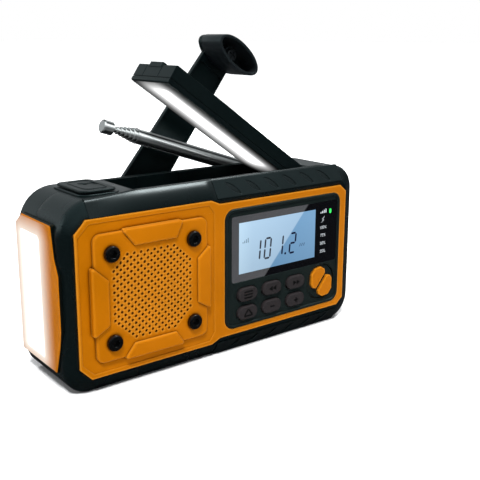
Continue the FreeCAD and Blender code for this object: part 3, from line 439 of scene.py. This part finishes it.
def vertex(shape, place):
    """New vertex at a place in mm."""
    return shape.verts.new([c * MM for c in place])


def bridge(shape, low, high):
    """Faces between two closed rings of vertices."""
    count = len(low)
    for k in range(count):
        shape.faces.new([low[k], low[(k + 1) % count], high[(k + 1) % count], high[k]])


def prism(shape, outline, place, low, high):
    """Solid between two depths over a closed outline; place(u, v, depth) gives a point in mm."""
    back, front = [[vertex(shape, place(u, v, depth)) for u, v in outline] for depth in (low, high)]
    shape.faces.new(back)
    shape.faces.new(front)
    bridge(shape, back, front)


def on_front(u, v, depth):
    """u to the right, v up, depth counted forward from the middle of the case."""
    return (u, -depth, v)


def bar(u0, v0, u1, v1, half):
    """Outline of a stroke with pointed ends, like a display segment."""
    length = math.hypot(u1 - u0, v1 - v0)
    tu, tv = (u1 - u0) / length, (v1 - v0) / length
    nu, nv = -tv * half, tu * half
    return [(u0, v0), (u0 + tu * half + nu, v0 + tv * half + nv), (u1 - tu * half + nu, v1 - tv * half + nv),
            (u1, v1), (u1 - tu * half - nu, v1 - tv * half - nv), (u0 + tu * half - nu, v0 + tv * half - nv)]


def ring_outline(u, v, radius, count):
    return [(u + radius * math.cos(2 * PI * k / count), v + radius * math.sin(2 * PI * k / count))
            for k in range(count)]


CORNER_STEPS = 6


def rounded_box(u0, u1, v0, v1, radius):
    outline = []
    for cu, cv, start in ((u1 - radius, v1 - radius, 0), (u0 + radius, v1 - radius, 90),
                          (u0 + radius, v0 + radius, 180), (u1 - radius, v0 + radius, 270)):
        for k in range(CORNER_STEPS + 1):
            angle = math.radians(start + 90 * k / CORNER_STEPS)
            outline.append((cu + radius * math.cos(angle), cv + radius * math.sin(angle)))
    return outline


# ---------------------------------------------------------------- display

# the lit area: left, right, bottom, top and corner radius
LCD_AREA = (6.3, 53.6, 37.25, 61.25, 0.15)
# depth of the window's surface, and the back and front of the ink on it
GLASS = 25.1
INK_LOW = GLASS + 0.02
INK_HIGH = GLASS + 0.05
# each stroke of a figure, between two points of a grid one cell wide and two high
SEGMENTS = {"a": (0, 2, 1, 2), "b": (1, 1, 1, 2), "c": (1, 0, 1, 1), "d": (0, 0, 1, 0), "e": (0, 0, 0, 1),
            "f": (0, 1, 0, 2), "g": (0, 1, 1, 1)}
DIGITS = {"0": "abcdef", "1": "bc", "2": "abged"}
# the frequency shown: each figure with its left edge, and the point before the last one
READING = (("1", 14.9), ("0", 21.2), ("1", 28.7), ("2", 36.8))
READING_BASE = 42.2
READING_POINT = (34.3, 42.5)
DIGIT_WIDTH = 3.4
DIGIT_HEIGHT = 9.5
DIGIT_SLANT = 0.09
STROKE_HALF = 0.47
STROKE_GAP = STROKE_HALF * 0.35


def segment_digit(shape, figure, left):
    """A seven-segment figure of the reading, leaning to the right."""
    for key in DIGITS[figure]:
        a0, b0, a1, b1 = SEGMENTS[key]
        (u0, v0), (u1, v1) = [(left + a * DIGIT_WIDTH + DIGIT_SLANT * b * DIGIT_HEIGHT / 2,
                               READING_BASE + b * DIGIT_HEIGHT / 2) for a, b in ((a0, b0), (a1, b1))]
        length = math.hypot(u1 - u0, v1 - v0)
        cut_u, cut_v = (u1 - u0) / length * STROKE_GAP, (v1 - v0) / length * STROKE_GAP
        stroke = bar(u0 + cut_u, v0 + cut_v, u1 - cut_u, v1 - cut_v, STROKE_HALF)
        prism(shape, stroke, on_front, INK_LOW, INK_HIGH)


def signal_bars(shape, left, foot, height, step, rise, half, low, high):
    """Four upright strokes, each a step further right and taller by rise than the one before."""
    for k in range(4):
        u = left + step * k
        prism(shape, bar(u, foot, u, foot + height + rise * k, half), on_front, low, high)


def ink(name, colour, roughness=0.6):
    return plastic(name, colour, roughness, depth=0.0, edge_wear_and_highlight=0.0, specular=0.1)


def segment_ink(name, pale, deep):
    """Display ink that looks washed out under the sheen."""
    material, nodes, links = new_material(name)
    shader = nodes["Principled BSDF"]
    links.new(mix_colour(nodes, links, sheen(nodes, links), pale, deep), shader.inputs["Base Color"])
    shader.inputs["Roughness"].default_value = 0.6
    shader.inputs["Specular IOR Level"].default_value = 0.1
    return material


def display():
    """The lit area of the display with its reading and two small signs."""
    piece("lcd_active_area", lambda shape: prism(
        shape, rounded_box(*LCD_AREA), on_front, GLASS - 0.3, INK_LOW), "case", "lcd")
    dark = segment_ink("segment_ink", (0.030, 0.036, 0.050), (0.003, 0.004, 0.026))
    faint = segment_ink("faint_ink", (0.16, 0.24, 0.31), (0.05, 0.10, 0.17))

    def reading(shape):
        for figure, left in READING:
            segment_digit(shape, figure, left)
        prism(shape, ring_outline(*READING_POINT, 0.6, 10), on_front, INK_LOW, INK_HIGH)

    def signs(shape):
        signal_bars(shape, left=8.6, foot=51.4, height=0.9, step=1.0, rise=0.5, half=0.28,
                    low=INK_LOW, high=INK_HIGH)
        for k in range(3):
            u = 43.4 + 1.3 * k
            prism(shape, bar(u, 44.3, u + 0.7, 46.0, 0.24), on_front, INK_LOW, INK_HIGH)

    piece("lcd_reading", reading, "case", "lcd", dark)
    piece("lcd_signs", signs, "case", "lcd", faint)


# the charge scale beside the display: its middle, each level's height, and the letters' size
LEVEL_MIDDLE = 59.0
LEVELS = (("100", 51.5), ("75", 47.6), ("50", 43.5), ("25", 39.4))
LETTER_SIZE = 2.2
LETTER_DEPTH = 0.015
BOLT = ((57.6, 53.9), (59.5, 55.5), (58.5, 55.6), (60.2, 57.3), (58.1, 55.9), (59.0, 55.7))
# the green light: left, right, bottom, top and corner radius
TUNED_LIGHT = (62.9, 64.1, 58.2, 60.5, 0.58)


def level_mark(level, height, material):
    """A charge level as a number on the window."""
    text = bpy.data.curves.new(f"level_{level}_curve", "FONT")
    text.body = f"{level}%"
    text.size = LETTER_SIZE * MM
    text.align_x = "CENTER"
    text.align_y = "CENTER"
    text.extrude = LETTER_DEPTH * MM
    text.resolution_u = 3
    source = bpy.data.objects.new(f"level_{level}_text", text)
    mesh = bpy.data.meshes.new_from_object(source)
    bpy.data.objects.remove(source)
    mark = bpy.data.objects.new(f"level_{level}", mesh)
    place = Vector(on_front(LEVEL_MIDDLE, height, INK_LOW)) * MM
    mark.matrix_world = Matrix.Translation(place) @ Matrix.Rotation(PI / 2, 4, "X")
    bpy.context.scene.collection.objects.link(mark)
    paint(mark, material)
    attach(mark, "case")


def window_marks():
    """Beside the display: a signal sign, a bolt, four charge levels and a green light."""
    white = ink("mark_white", (0.62, 0.66, 0.70))

    def signs(shape):
        signal_bars(shape, left=57.3, foot=58.6, height=1.0, step=1.1, rise=0.45, half=0.32,
                    low=GLASS, high=GLASS + 0.03)
        prism(shape, BOLT, on_front, GLASS, GLASS + 0.03)

    piece("window_signs", signs, "case", "window_gloss", white)
    for level, height in LEVELS:
        level_mark(level, height, white)
    piece("tuned_light", lambda shape: prism(
        shape, rounded_box(*TUNED_LIGHT), on_front, GLASS, GLASS + 0.25), "case", "led_green")


# ---------------------------------------------------------------- button signs

# middle of each button's sign, and half the width of the signs' strokes
BUTTONS = {
    "menu_button": (10.9, 27.2), "tune_down_button": (25.6, 27.2), "tune_up_button": (40.7, 27.2),
    "mode_button": (10.9, 18.3), "preset_down_button": (25.6, 18.3), "preset_up_button": (40.7, 18.3),
}
SIGN_HALF = 0.36


def arrow(u, v, side, size):
    """Triangle pointing left (-1) or right (1)."""
    return [(u - side * size * 0.5, v - size * 0.6), (u + side * size * 0.6, v),
            (u - side * size * 0.5, v + size * 0.6)]


def button_outlines(name, u, v):
    """Outlines of a button's sign: three lines, a roof, two arrows, a minus or a plus."""
    def stroke(u0, v0, u1, v1):
        return bar(u + u0, v + v0, u + u1, v + v1, SIGN_HALF)

    if name == "menu_button":
        return [stroke(-2.6, step, 2.6, step) for step in (-1.4, 0.0, 1.4)]
    if name == "mode_button":
        return [stroke(-2.4, -1.3, 0, 1.8), stroke(0, 1.8, 2.4, -1.3), stroke(-2.6, -1.4, 2.6, -1.4)]
    side = 1 if name.endswith("up_button") else -1
    if name.startswith("tune"):
        return [arrow(u - 1.1, v, side, 2.0), arrow(u + 1.1, v, side, 2.0)]
    minus = [stroke(-1.5, 0, 1.5, 0)]
    return minus + [stroke(0, -1.5, 0, 1.5)] if side == 1 else minus


def button_signs():
    dark = ink("button_sign", (0.004, 0.004, 0.004), 0.4)
    for name, (u, v) in BUTTONS.items():
        face = -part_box(name)[0].y / MM

        def signs(shape, outlines=button_outlines(name, u, v), face=face):
            for outline in outlines:
                prism(shape, outline, on_front, face - 0.05, face + 0.06)

        piece(f"{name}_sign", signs, name, "button_grey", dark)


# ---------------------------------------------------------------- case trim

# the rounded front bevel in section, as (y, z): its foot, its brow and the crown behind it,
# and where the brow and the crown lie at its two ends, flush with the shell
RIM_FOOT = (-24.85, 73.75)
RIM_BROW = (-19.75, 81.95)
RIM_CROWN = ((-19.35, 82.0), (-19.05, 81.8), (-18.9, 81.4), (-18.9, 79.5))
FLUSH_BROW = (-21.28, 79.49)
FLUSH_CROWN = ((-20.74, 80.14), (-19.95, 80.60), (-19.25, 80.75), (-19.2, 79.5))
# direction out of the bevel
RIM_OUT = (-0.85, 0.53)
RIM_STEPS = 12
# where it starts and ends, and over what length it rises at each end
RIM_LEFT = -67.0
RIM_RIGHT = 70.0
RISE_LEFT = 26.0
RISE_RIGHT = 12.0
# how far it bulges: fully over the speaker, and less from there on over the display
RIM_BULGE = 0.95
BULGE_LOSS = 0.75
BULGE_ENDS = -9.0
BULGE_FADE = 4.0
RIM_CLEARANCE = 0.03


def ease(t):
    """Smooth step from 0 at t = 0 to 1 at t = 1."""
    t = max(0.0, min(1.0, t))
    return t * t * (3 - 2 * t)


def between(first, second, share):
    """Point at a share of the way from one point to another."""
    return tuple(a + (b - a) * share for a, b in zip(first, second))


def rim_section(x):
    """Points (y, z) of the front bevel at x, from its foot over its brow to the back of its crown."""
    rise = ease((x - RIM_LEFT) / RISE_LEFT) * ease((RIM_RIGHT - x) / RISE_RIGHT)
    bulge = (RIM_BULGE - BULGE_LOSS * ease((x - BULGE_ENDS) / BULGE_FADE)) * rise
    brow = between(FLUSH_BROW, RIM_BROW, rise)
    points = []
    for k in range(RIM_STEPS + 1):
        t = k / RIM_STEPS
        swell = bulge * 4 * t * (1 - t) + RIM_CLEARANCE
        points.append(tuple(c + n * swell for c, n in zip(between(RIM_FOOT, brow, t), RIM_OUT)))
    return points + [between(flush, crown, rise) for flush, crown in zip(FLUSH_CROWN, RIM_CROWN)]


def front_rim():
    """Rounded front bevel that rises a little above the top of the case."""
    def skin(shape):
        rows = []
        for k in range(round(RIM_RIGHT - RIM_LEFT) + 1):
            x = RIM_LEFT + k
            rows.append([vertex(shape, (x, y, z)) for y, z in rim_section(x)])
        for left, right in zip(rows, rows[1:]):
            for k in range(len(left) - 1):
                face = shape.faces.new([left[k], right[k], right[k + 1], left[k + 1]])
                face.smooth = True

    piece("front_rim", skin, "case", "case_black", RIM)


# x of the end light's frame, and how deep behind it, in mm, its orange gives way to black
LIGHT_FACE = -79.6
ORANGE_DEPTH = (0.22, 0.34)


def light_frame():
    """Orange face of the end light's frame on black side walls."""
    material = plastic("frame_orange", ORANGE, 0.32, edge_wear_and_highlight=0.1, specular=0.24, sheen_tint=(1.0, 0.62, 0.16))
    nodes, links = material.node_tree.nodes, material.node_tree.links
    colour = nodes["Principled BSDF"].inputs["Base Color"]
    wall = ramp(nodes, links, along(nodes, links, (1, 0, 0), (LIGHT_FACE, 0, 0)), *ORANGE_DEPTH)
    links.new(mix_colour(nodes, links, wall, colour.links[0].from_socket, BLACK), colour)
    paint(NODES["light_frame"], material)


# the mark on the top button: its middle, the rim's two outlines (left, right, front, back and
# corner radius), its height and foot, and the dome's place and half sizes
MARK_MIDDLE = (-56.6, -2.7)
MARK_OUTER = (-5.4, 5.4, -9.6, 9.6, 3.0)
MARK_INNER = (-4.9, 4.9, -9.1, 9.1, 2.6)
MARK_HEIGHT = 0.22
MARK_SUNK = -0.05
DOME_AT = (0.0, 4.2, -0.1)
DOME = (2.2, 2.2, 0.55)


def top_button_mark():
    """Raised oval rim with a small dome on the top button."""
    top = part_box("top_button")[1].z / MM

    def level(u, v, depth):
        return (MARK_MIDDLE[0] + u, MARK_MIDDLE[1] + v, top + depth)

    def mark(shape):
        outer, inner = rounded_box(*MARK_OUTER), rounded_box(*MARK_INNER)
        rings = [[vertex(shape, level(u, v, depth)) for u, v in outline]
                 for outline, depth in ((outer, MARK_SUNK), (outer, MARK_HEIGHT),
                                        (inner, MARK_HEIGHT), (inner, MARK_SUNK))]
        for low, high in zip(rings, rings[1:]):
            bridge(shape, low, high)
        place = Matrix.Translation(Vector(level(*DOME_AT)) * MM)
        size = Matrix.Diagonal((*[half * MM for half in DOME], 1))
        bmesh.ops.create_uvsphere(shape, u_segments=24, v_segments=12, radius=1.0, matrix=place @ size)

    piece("top_button_mark", mark, "top_button", "button_grey", PAD)


# the middle of the speaker's grille, and the radius and the two depths of the cloth behind it
GRILLE_MIDDLE = (-39.4, 40.2)
CLOTH_RADIUS = 22.8
CLOTH_DEPTHS = (24.6, 24.9)


def grille_cloth():
    """Orange cloth behind the holes of the speaker plate."""
    cloth = plastic("speaker_cloth", (0.80, 0.14, 0.004), 0.9, edge_wear_and_highlight=0.0, specular=0.1)
    outline = ring_outline(*GRILLE_MIDDLE, CLOTH_RADIUS, 48)
    piece("speaker_cloth", lambda shape: prism(shape, outline, on_front, *CLOTH_DEPTHS),
          "case", "speaker_cone", cloth)


# ---------------------------------------------------------------- antenna

ANTENNA_LIFT = math.radians(18.3)
ANTENNA_PIVOT = Vector((43.5, 18.2, 77.0))
ANTENNA_OUT = Vector((-math.cos(ANTENNA_LIFT), 0.0, math.sin(ANTENNA_LIFT)))
ANTENNA_ACROSS = Vector((0, 1, 0))
ANTENNA_UP = Vector((math.sin(ANTENNA_LIFT), 0.0, math.cos(ANTENNA_LIFT)))
# the painted reflection bands round the tubes, as (place, brightness) from underneath (0) to the top (1)
BANDS = ((0.0, 0.45), (0.08, 0.02), (0.24, 0.03), (0.34, 0.22), (0.46, 0.16), (0.56, 0.50), (0.63, 1.0),
         (0.71, 1.0), (0.77, 0.10), (0.85, 0.02), (0.92, 0.50), (1.0, 0.30))
# the sections that slide, how their inner and outer ends step out along the antenna, and
# their radii: each is TAPER thinner than the one that holds it
SECTIONS = 6
INNER_END = 11.0
INNER_STEP = 1.0
OUTER_END = 67.9
OUTER_STEP = 2.05
FIRST_RADIUS = 3.6
TAPER = 0.40
WALL = 0.19
RIM_SWELL = 0.30
# the ring round the mouth of the main tube
MOUTH_RADIUS = 3.64
MOUTH_BORE = 3.61
MOUTH_SWELL = 0.10
# the cap on the last section
CAP_RADIUS = 3.2
CAP_LENGTH = 5.4
CAP_CHAMFER = 0.5
# facets round a tube, and the angle between faces up to which they are shaded smooth
SIDES = 40
SMOOTH_BELOW = math.radians(42)


def banded_chrome():
    """Chrome with the dark and bright lines that a studio throws along a polished tube, painted into its
    colour as a painted reflection.
    """
    material = metal("banded_chrome", (0.5, 0.5, 0.5), 0.12, metallic=0.35)
    nodes, links = material.node_tree.nodes, material.node_tree.links
    place = nodes.new("ShaderNodeTexCoord")
    upward = dot_product(nodes, links, place.outputs["Normal"], tuple(ANTENNA_UP))
    bands = nodes.new("ShaderNodeValToRGB")
    stops = bands.color_ramp.elements
    while len(stops) < len(BANDS):
        stops.new(0.5)
    for stop, (place_round, tone) in zip(stops, BANDS):
        stop.position = place_round
        stop.color = (tone * 0.94, tone, tone, 1.0)
    # painted reflection: base colour banded by how far the surface faces up across the antenna
    links.new(ramp(nodes, links, upward, -1.0, 1.0), bands.inputs["Fac"])
    links.new(bands.outputs["Color"], nodes["Principled BSDF"].inputs["Base Color"])
    return material


def lathe(shape, profile, hollow):
    """Turn a profile of (distance, radius) about the antenna's axis; a hollow one closes on itself."""
    rings = []
    for distance, radius in profile:
        ring = []
        for k in range(SIDES):
            angle = 2 * PI * k / SIDES
            ring.append(vertex(shape, ANTENNA_PIVOT + ANTENNA_OUT * distance
                               + ANTENNA_ACROSS * radius * math.cos(angle)
                               + ANTENNA_UP * radius * math.sin(angle)))
        rings.append(ring)
    followers = rings[1:] + rings[:1] if hollow else rings[1:]
    for low, high in zip(rings, followers):
        bridge(shape, low, high)
    if not hollow:
        shape.faces.new(rings[0])
        shape.faces.new(rings[-1])
    for face in shape.faces:
        face.smooth = True


def rolled_rim(end, radius, swell):
    """Profile of a tube's end whose rim stands out by swell."""
    return [(end - 1.15, radius), (end - 0.95, radius + 0.7 * swell), (end - 0.60, radius + swell),
            (end - 0.25, radius + 0.7 * swell), (end - 0.10, radius), (end, radius - 0.12)]


def section_profile(k):
    """Profile of the main tube's mouth (0), of a hollow section or of the capped last one."""
    end = OUTER_END + OUTER_STEP * k
    start = INNER_END + INNER_STEP * k
    if k == 0:
        outside = rolled_rim(end, MOUTH_RADIUS, MOUTH_SWELL)[:-1]
        return outside + [(end - 0.10, MOUTH_BORE), (end - 1.15, MOUTH_BORE)]
    radius = FIRST_RADIUS - TAPER * k
    if k < SECTIONS:
        bore = radius - WALL
        return [(start, radius)] + rolled_rim(end, radius, RIM_SWELL) + [(end, bore), (start, bore)]
    cap = end - 0.2
    tip = cap + CAP_LENGTH
    return [(start, radius), (cap, radius), (cap, CAP_RADIUS - CAP_CHAMFER), (cap + 0.4, CAP_RADIUS),
            (tip - CAP_CHAMFER, CAP_RADIUS), (tip, CAP_RADIUS - CAP_CHAMFER)]


def antenna_sections():
    """A ring round the main tube's mouth, and the telescoping sections in place of the CAD's."""
    chrome = banded_chrome()
    paint(NODES["antenna_tube"], chrome)
    for k in range(SECTIONS + 1):
        name, body = (f"chrome_section_{k}", f"antenna_section_{k}") if k else ("antenna_rim", "antenna")

        def turned(shape, profile=section_profile(k), hollow=k < SECTIONS):
            lathe(shape, profile, hollow)

        section = piece(name, turned, body, "antenna_chrome", chrome)
        section.data.set_sharp_from_angle(angle=SMOOTH_BELOW)
        if k:
            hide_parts(body)


# ---------------------------------------------------------------- flap and lamps

FLAP_HINGE = Vector((50.9, 0.0, 76.4))
FLAP_ANGLE = math.radians(34.5)
FLAP_ALONG = Vector((-math.cos(FLAP_ANGLE), 0.0, math.sin(FLAP_ANGLE)))
FLAP_UP = Vector((math.sin(FLAP_ANGLE), 0.0, math.cos(FLAP_ANGLE)))
# the flap's lens: its depth, and half the length and half the width of its brightest part
LENS_DEPTH = -4.05
STRIP_HALF = (31.0, 2.2)


def on_flap(u, v, depth):
    """u from the hinge to the tip, v across, depth above the middle of the flap."""
    return tuple(FLAP_HINGE + u * FLAP_ALONG + Vector((0, v, 0)) + depth * FLAP_UP)


def box_distance(nodes, links, axes, middle, half):
    """Distance in mm outside a rectangle that spans two directions."""
    parts = []
    for direction, size in zip(axes, half):
        run = calc(nodes, links, "ABSOLUTE", along(nodes, links, direction, middle))
        out = calc(nodes, links, "MAXIMUM", calc(nodes, links, "SUBTRACT", run, size), 0.0)
        parts.append(calc(nodes, links, "MULTIPLY", out, out))
    return calc(nodes, links, "SQRT", calc(nodes, links, "ADD", *parts))


def fading(axes, middle, half, reach, power):
    """Falloff from 1 at a rectangle's edge to 0 at reach millimetres, faster for a higher power."""
    def share(nodes, links):
        away = box_distance(nodes, links, axes, middle, half)
        return calc(nodes, links, "POWER", ramp(nodes, links, away, 0.0, reach, 1.0, 0.0), power)
    return share


def glow_sheet(name, corners, body, colour, strength, falloff):
    """One face in front of a lamp that carries the lamp's halo."""
    piece(name, lambda shape: shape.faces.new([vertex(shape, corner) for corner in corners]),
          body, "lens_white", halo(name, colour, strength, falloff))


# the flap's halo: its depth and its edges along and across the flap
FLAP_GLOW_DEPTH = -4.45
FLAP_GLOW = ((3, -18.2), (89.8, -18.2), (89.8, 11.2), (3, 11.2))
# the end light's halo: its x, its corners as (y, z), and the middle and half sizes of the lens
END_GLOW_FACE = -79.8
END_GLOW = ((-20.2, 29.0), (-18.8, 21.9), (-14.6, 9.8), (18.4, 9.8), (18.4, 66.1), (11.8, 70.5),
            (-15.3, 70.4), (-17.3, 58.5), (-20.2, 51.6))
END_LENS_MIDDLE = (5.2, 38.2)
END_LENS_HALF = (8.0, 24.0)


def lamp_glow():
    """Scattered light round the lamp strip under the flap and round the light in the left end."""
    spread = fading((tuple(FLAP_ALONG), (0, 1, 0)), on_flap(51.0, -3.0, FLAP_GLOW_DEPTH), STRIP_HALF,
                    reach=14.0, power=2.2)
    glow_sheet("lamp_glow", [on_flap(u, v, FLAP_GLOW_DEPTH) for u, v in FLAP_GLOW], "flap",
               (1.0, 1.0, 1.0), 1.5, spread)
    spread = fading(((0, 1, 0), (0, 0, 1)), (END_GLOW_FACE, *END_LENS_MIDDLE), END_LENS_HALF,
                    reach=13.5, power=1.7)
    glow_sheet("end_glow", [(END_GLOW_FACE, y, z) for y, z in END_GLOW], "case",
               (1.0, 0.96, 0.88), 1.15, spread)


def lamp_strip():
    """The lens under the flap: bright along its middle and fading out towards its edges."""
    material, nodes, links = new_material("lamp_strip")
    shader = nodes["Principled BSDF"]
    falloff = fading((tuple(FLAP_ALONG), (0, 1, 0)), on_flap(50.0, -3.4, LENS_DEPTH), STRIP_HALF,
                     reach=5.2, power=1.5)
    cloud = ramp(nodes, links, noise(nodes, links, 300.0), 0.3, 0.7, 0.9, 1.1)
    lit = calc(nodes, links, "MULTIPLY", falloff(nodes, links), cloud)
    shader.inputs["Base Color"].default_value = (0.02, 0.02, 0.022, 1.0)
    shader.inputs["Emission Color"].default_value = (1.0, 1.0, 1.0, 1.0)
    links.new(calc(nodes, links, "MULTIPLY", lit, 2.2), shader.inputs["Emission Strength"])
    shader.inputs["Roughness"].default_value = 0.4
    paint(NODES["lamp_lens"], material)


# the contact lines on the solar cells: bus bars along the flap, by their places across it and
# their ends, thin lines across it between the cells, and the depth of the lines' top
BUS_BARS = (-9.9, 2.9)
BUS_ENDS = (9.2, 82.6)
BUS_HALF = 0.35
CELLS = 8
CELLS_START = 8.6
CELLS_LENGTH = 74.6
CELL_EDGES = (-15.2, 8.2)
PARTING_HALF = 0.25
CONTACT_TOP = 4.09


def solar_lines():
    """Silver contact lines over the solar cells."""
    silver = metal("contact_silver", (0.55, 0.57, 0.60), 0.4)

    def line(shape, u0, u1, v0, v1, top):
        prism(shape, [(u0, v0), (u1, v0), (u1, v1), (u0, v1)], on_flap, CONTACT_TOP - 0.1, top)

    def lines(shape):
        for v in BUS_BARS:
            line(shape, *BUS_ENDS, v - BUS_HALF, v + BUS_HALF, CONTACT_TOP)
        for k in range(1, CELLS):
            u = CELLS_START + CELLS_LENGTH * k / CELLS
            line(shape, u - PARTING_HALF, u + PARTING_HALF, *CELL_EDGES, CONTACT_TOP - 0.02)

    piece("solar_contacts", lines, "flap", "solar_blue", silver)


# ---------------------------------------------------------------- stage, lights, camera

FLOOR_REACH = 30.0


def add_floor():
    """A pale floor that looks near white from above and dark in the radio's reflections."""
    mesh = bpy.data.meshes.new("floor")
    corners = [(-1, -1), (1, -1), (1, 1), (-1, 1)]
    mesh.from_pydata([(x * FLOOR_REACH, y * FLOOR_REACH, 0) for x, y in corners], [], [(0, 1, 2, 3)])
    floor = bpy.data.objects.new("floor", mesh)
    bpy.context.scene.collection.objects.link(floor)
    material, nodes, links = new_material("floor")
    shader = nodes["Principled BSDF"]
    shade = mix_colour(nodes, links, noise(nodes, links, 6.0), (0.965, 0.968, 0.972), (0.975, 0.978, 0.982))
    path = nodes.new("ShaderNodeLightPath")
    seen = mix_colour(nodes, links, path.outputs["Is Glossy Ray"], shade, (0.03, 0.032, 0.034))
    links.new(seen, shader.inputs["Base Color"])
    shader.inputs["Roughness"].default_value = 0.8
    shader.inputs["Specular IOR Level"].default_value = 0.0
    paint(floor, material)


def add_lamp(name, kind, where, aim, energy, **settings):
    lamp = bpy.data.lights.new(name, kind)
    lamp.energy = energy
    for key, value in settings.items():
        setattr(lamp, key, value)
    obj = bpy.data.objects.new(name, lamp)
    obj.location = where
    obj.rotation_euler = (Vector(aim) - Vector(where)).to_track_quat("-Z", "Y").to_euler()
    bpy.context.scene.collection.objects.link(obj)
    return obj


def add_softbox(name, direction, distance, aim, size, watts):
    """Rectangular light in a direction from a point of the radio."""
    where = Vector(aim) + Vector(direction).normalized() * distance
    return add_lamp(name, "AREA", where, aim, watts, shape="RECTANGLE", size=size[0], size_y=size[1])


def add_world():
    """White to the camera, soft grey as fill, and a dark room with a bright ceiling in reflections."""
    world = bpy.data.worlds.new("studio")
    bpy.context.scene.world = world
    world.use_nodes = True
    nodes, links = world.node_tree.nodes, world.node_tree.links
    back = nodes["Background"]
    path = nodes.new("ShaderNodeLightPath")
    place = nodes.new("ShaderNodeTexCoord")
    split = nodes.new("ShaderNodeSeparateXYZ")
    links.new(place.outputs["Generated"], split.inputs[0])
    x, y, z = split.outputs["X"], split.outputs["Y"], split.outputs["Z"]
    ceiling = mix_colour(nodes, links, ramp(nodes, links, z, 0.05, 0.85),
                         (0.020, 0.025, 0.028), (0.42, 0.45, 0.46))
    front_right = calc(nodes, links, "MULTIPLY", ramp(nodes, links, x, 0.3, 0.8, 0.0, 0.7),
                       ramp(nodes, links, y, -0.85, -0.35, 1.0, 0.0))
    room = mix_colour(nodes, links, front_right, ceiling, (0.13, 0.15, 0.155))
    low_rear = calc(nodes, links, "MULTIPLY", ramp(nodes, links, y, 0.15, 0.85, 0.0, 0.9),
                    ramp(nodes, links, z, 0.25, 0.65, 1.0, 0.0))
    room = mix_colour(nodes, links, low_rear, room, (0.50, 0.52, 0.53))
    unseen = mix_colour(nodes, links, path.outputs["Is Glossy Ray"], (0.30, 0.31, 0.32), room)
    shown = mix_colour(nodes, links, path.outputs["Is Camera Ray"], unseen, (1.0, 1.0, 1.0))
    links.new(shown, back.inputs["Color"])
    back.inputs["Strength"].default_value = 1.0


def add_lights():
    """A soft sun, a narrow light for the edges, a wide one from behind and a rim light."""
    sun = add_lamp("sun", "SUN", where=(-0.38, -0.46, 1.0), aim=(0.0, 0.0, 0.04), energy=3.7,
                   angle=math.radians(11))
    sun.visible_glossy = False
    add_softbox("edge_light", direction=(0.50, -0.13, 0.84), distance=0.9, aim=(-0.030, -0.020, 0.080),
                size=(0.13, 0.20), watts=2.5)
    back = add_softbox("back_light", direction=(0.55, 0.90, 0.42), distance=1.1, aim=(0.0, 0.0, 0.060),
                       size=(0.50, 0.30), watts=9.0)
    back.visible_glossy = False
    add_softbox("rim_light", direction=(-0.95, 0.45, 0.35), distance=0.9, aim=(0.0, 0.02, 0.10),
                size=(0.15, 0.40), watts=0.8)
    add_world()


CAMERA_AT = (-0.1966, -0.2827, 0.1414)
CAMERA_LOOKS = (0.60254, 0.76319, -0.23340)
CAMERA_ROLL = math.radians(0.32)


def add_camera():
    """Camera at the photograph's place: left of the front, a little above."""
    camera = bpy.data.cameras.new("camera")
    camera.sensor_width = 36.0
    camera.lens = 56.49
    camera.shift_y = -0.041
    camera.clip_start = 0.01
    obj = bpy.data.objects.new("camera", camera)
    turn = Vector(CAMERA_LOOKS).normalized().to_track_quat("-Z", "Y").to_matrix().to_4x4()
    obj.matrix_world = Matrix.Translation(CAMERA_AT) @ turn @ Matrix.Rotation(CAMERA_ROLL, 4, "Z")
    bpy.context.scene.collection.objects.link(obj)
    bpy.context.scene.camera = obj


display()
window_marks()
button_signs()
front_rim()
light_frame()
top_button_mark()
antenna_sections()
grille_cloth()
lamp_glow()
lamp_strip()
solar_lines()
add_floor()
add_lights()
add_camera()
bpy.context.scene.view_settings.view_transform = "Standard"
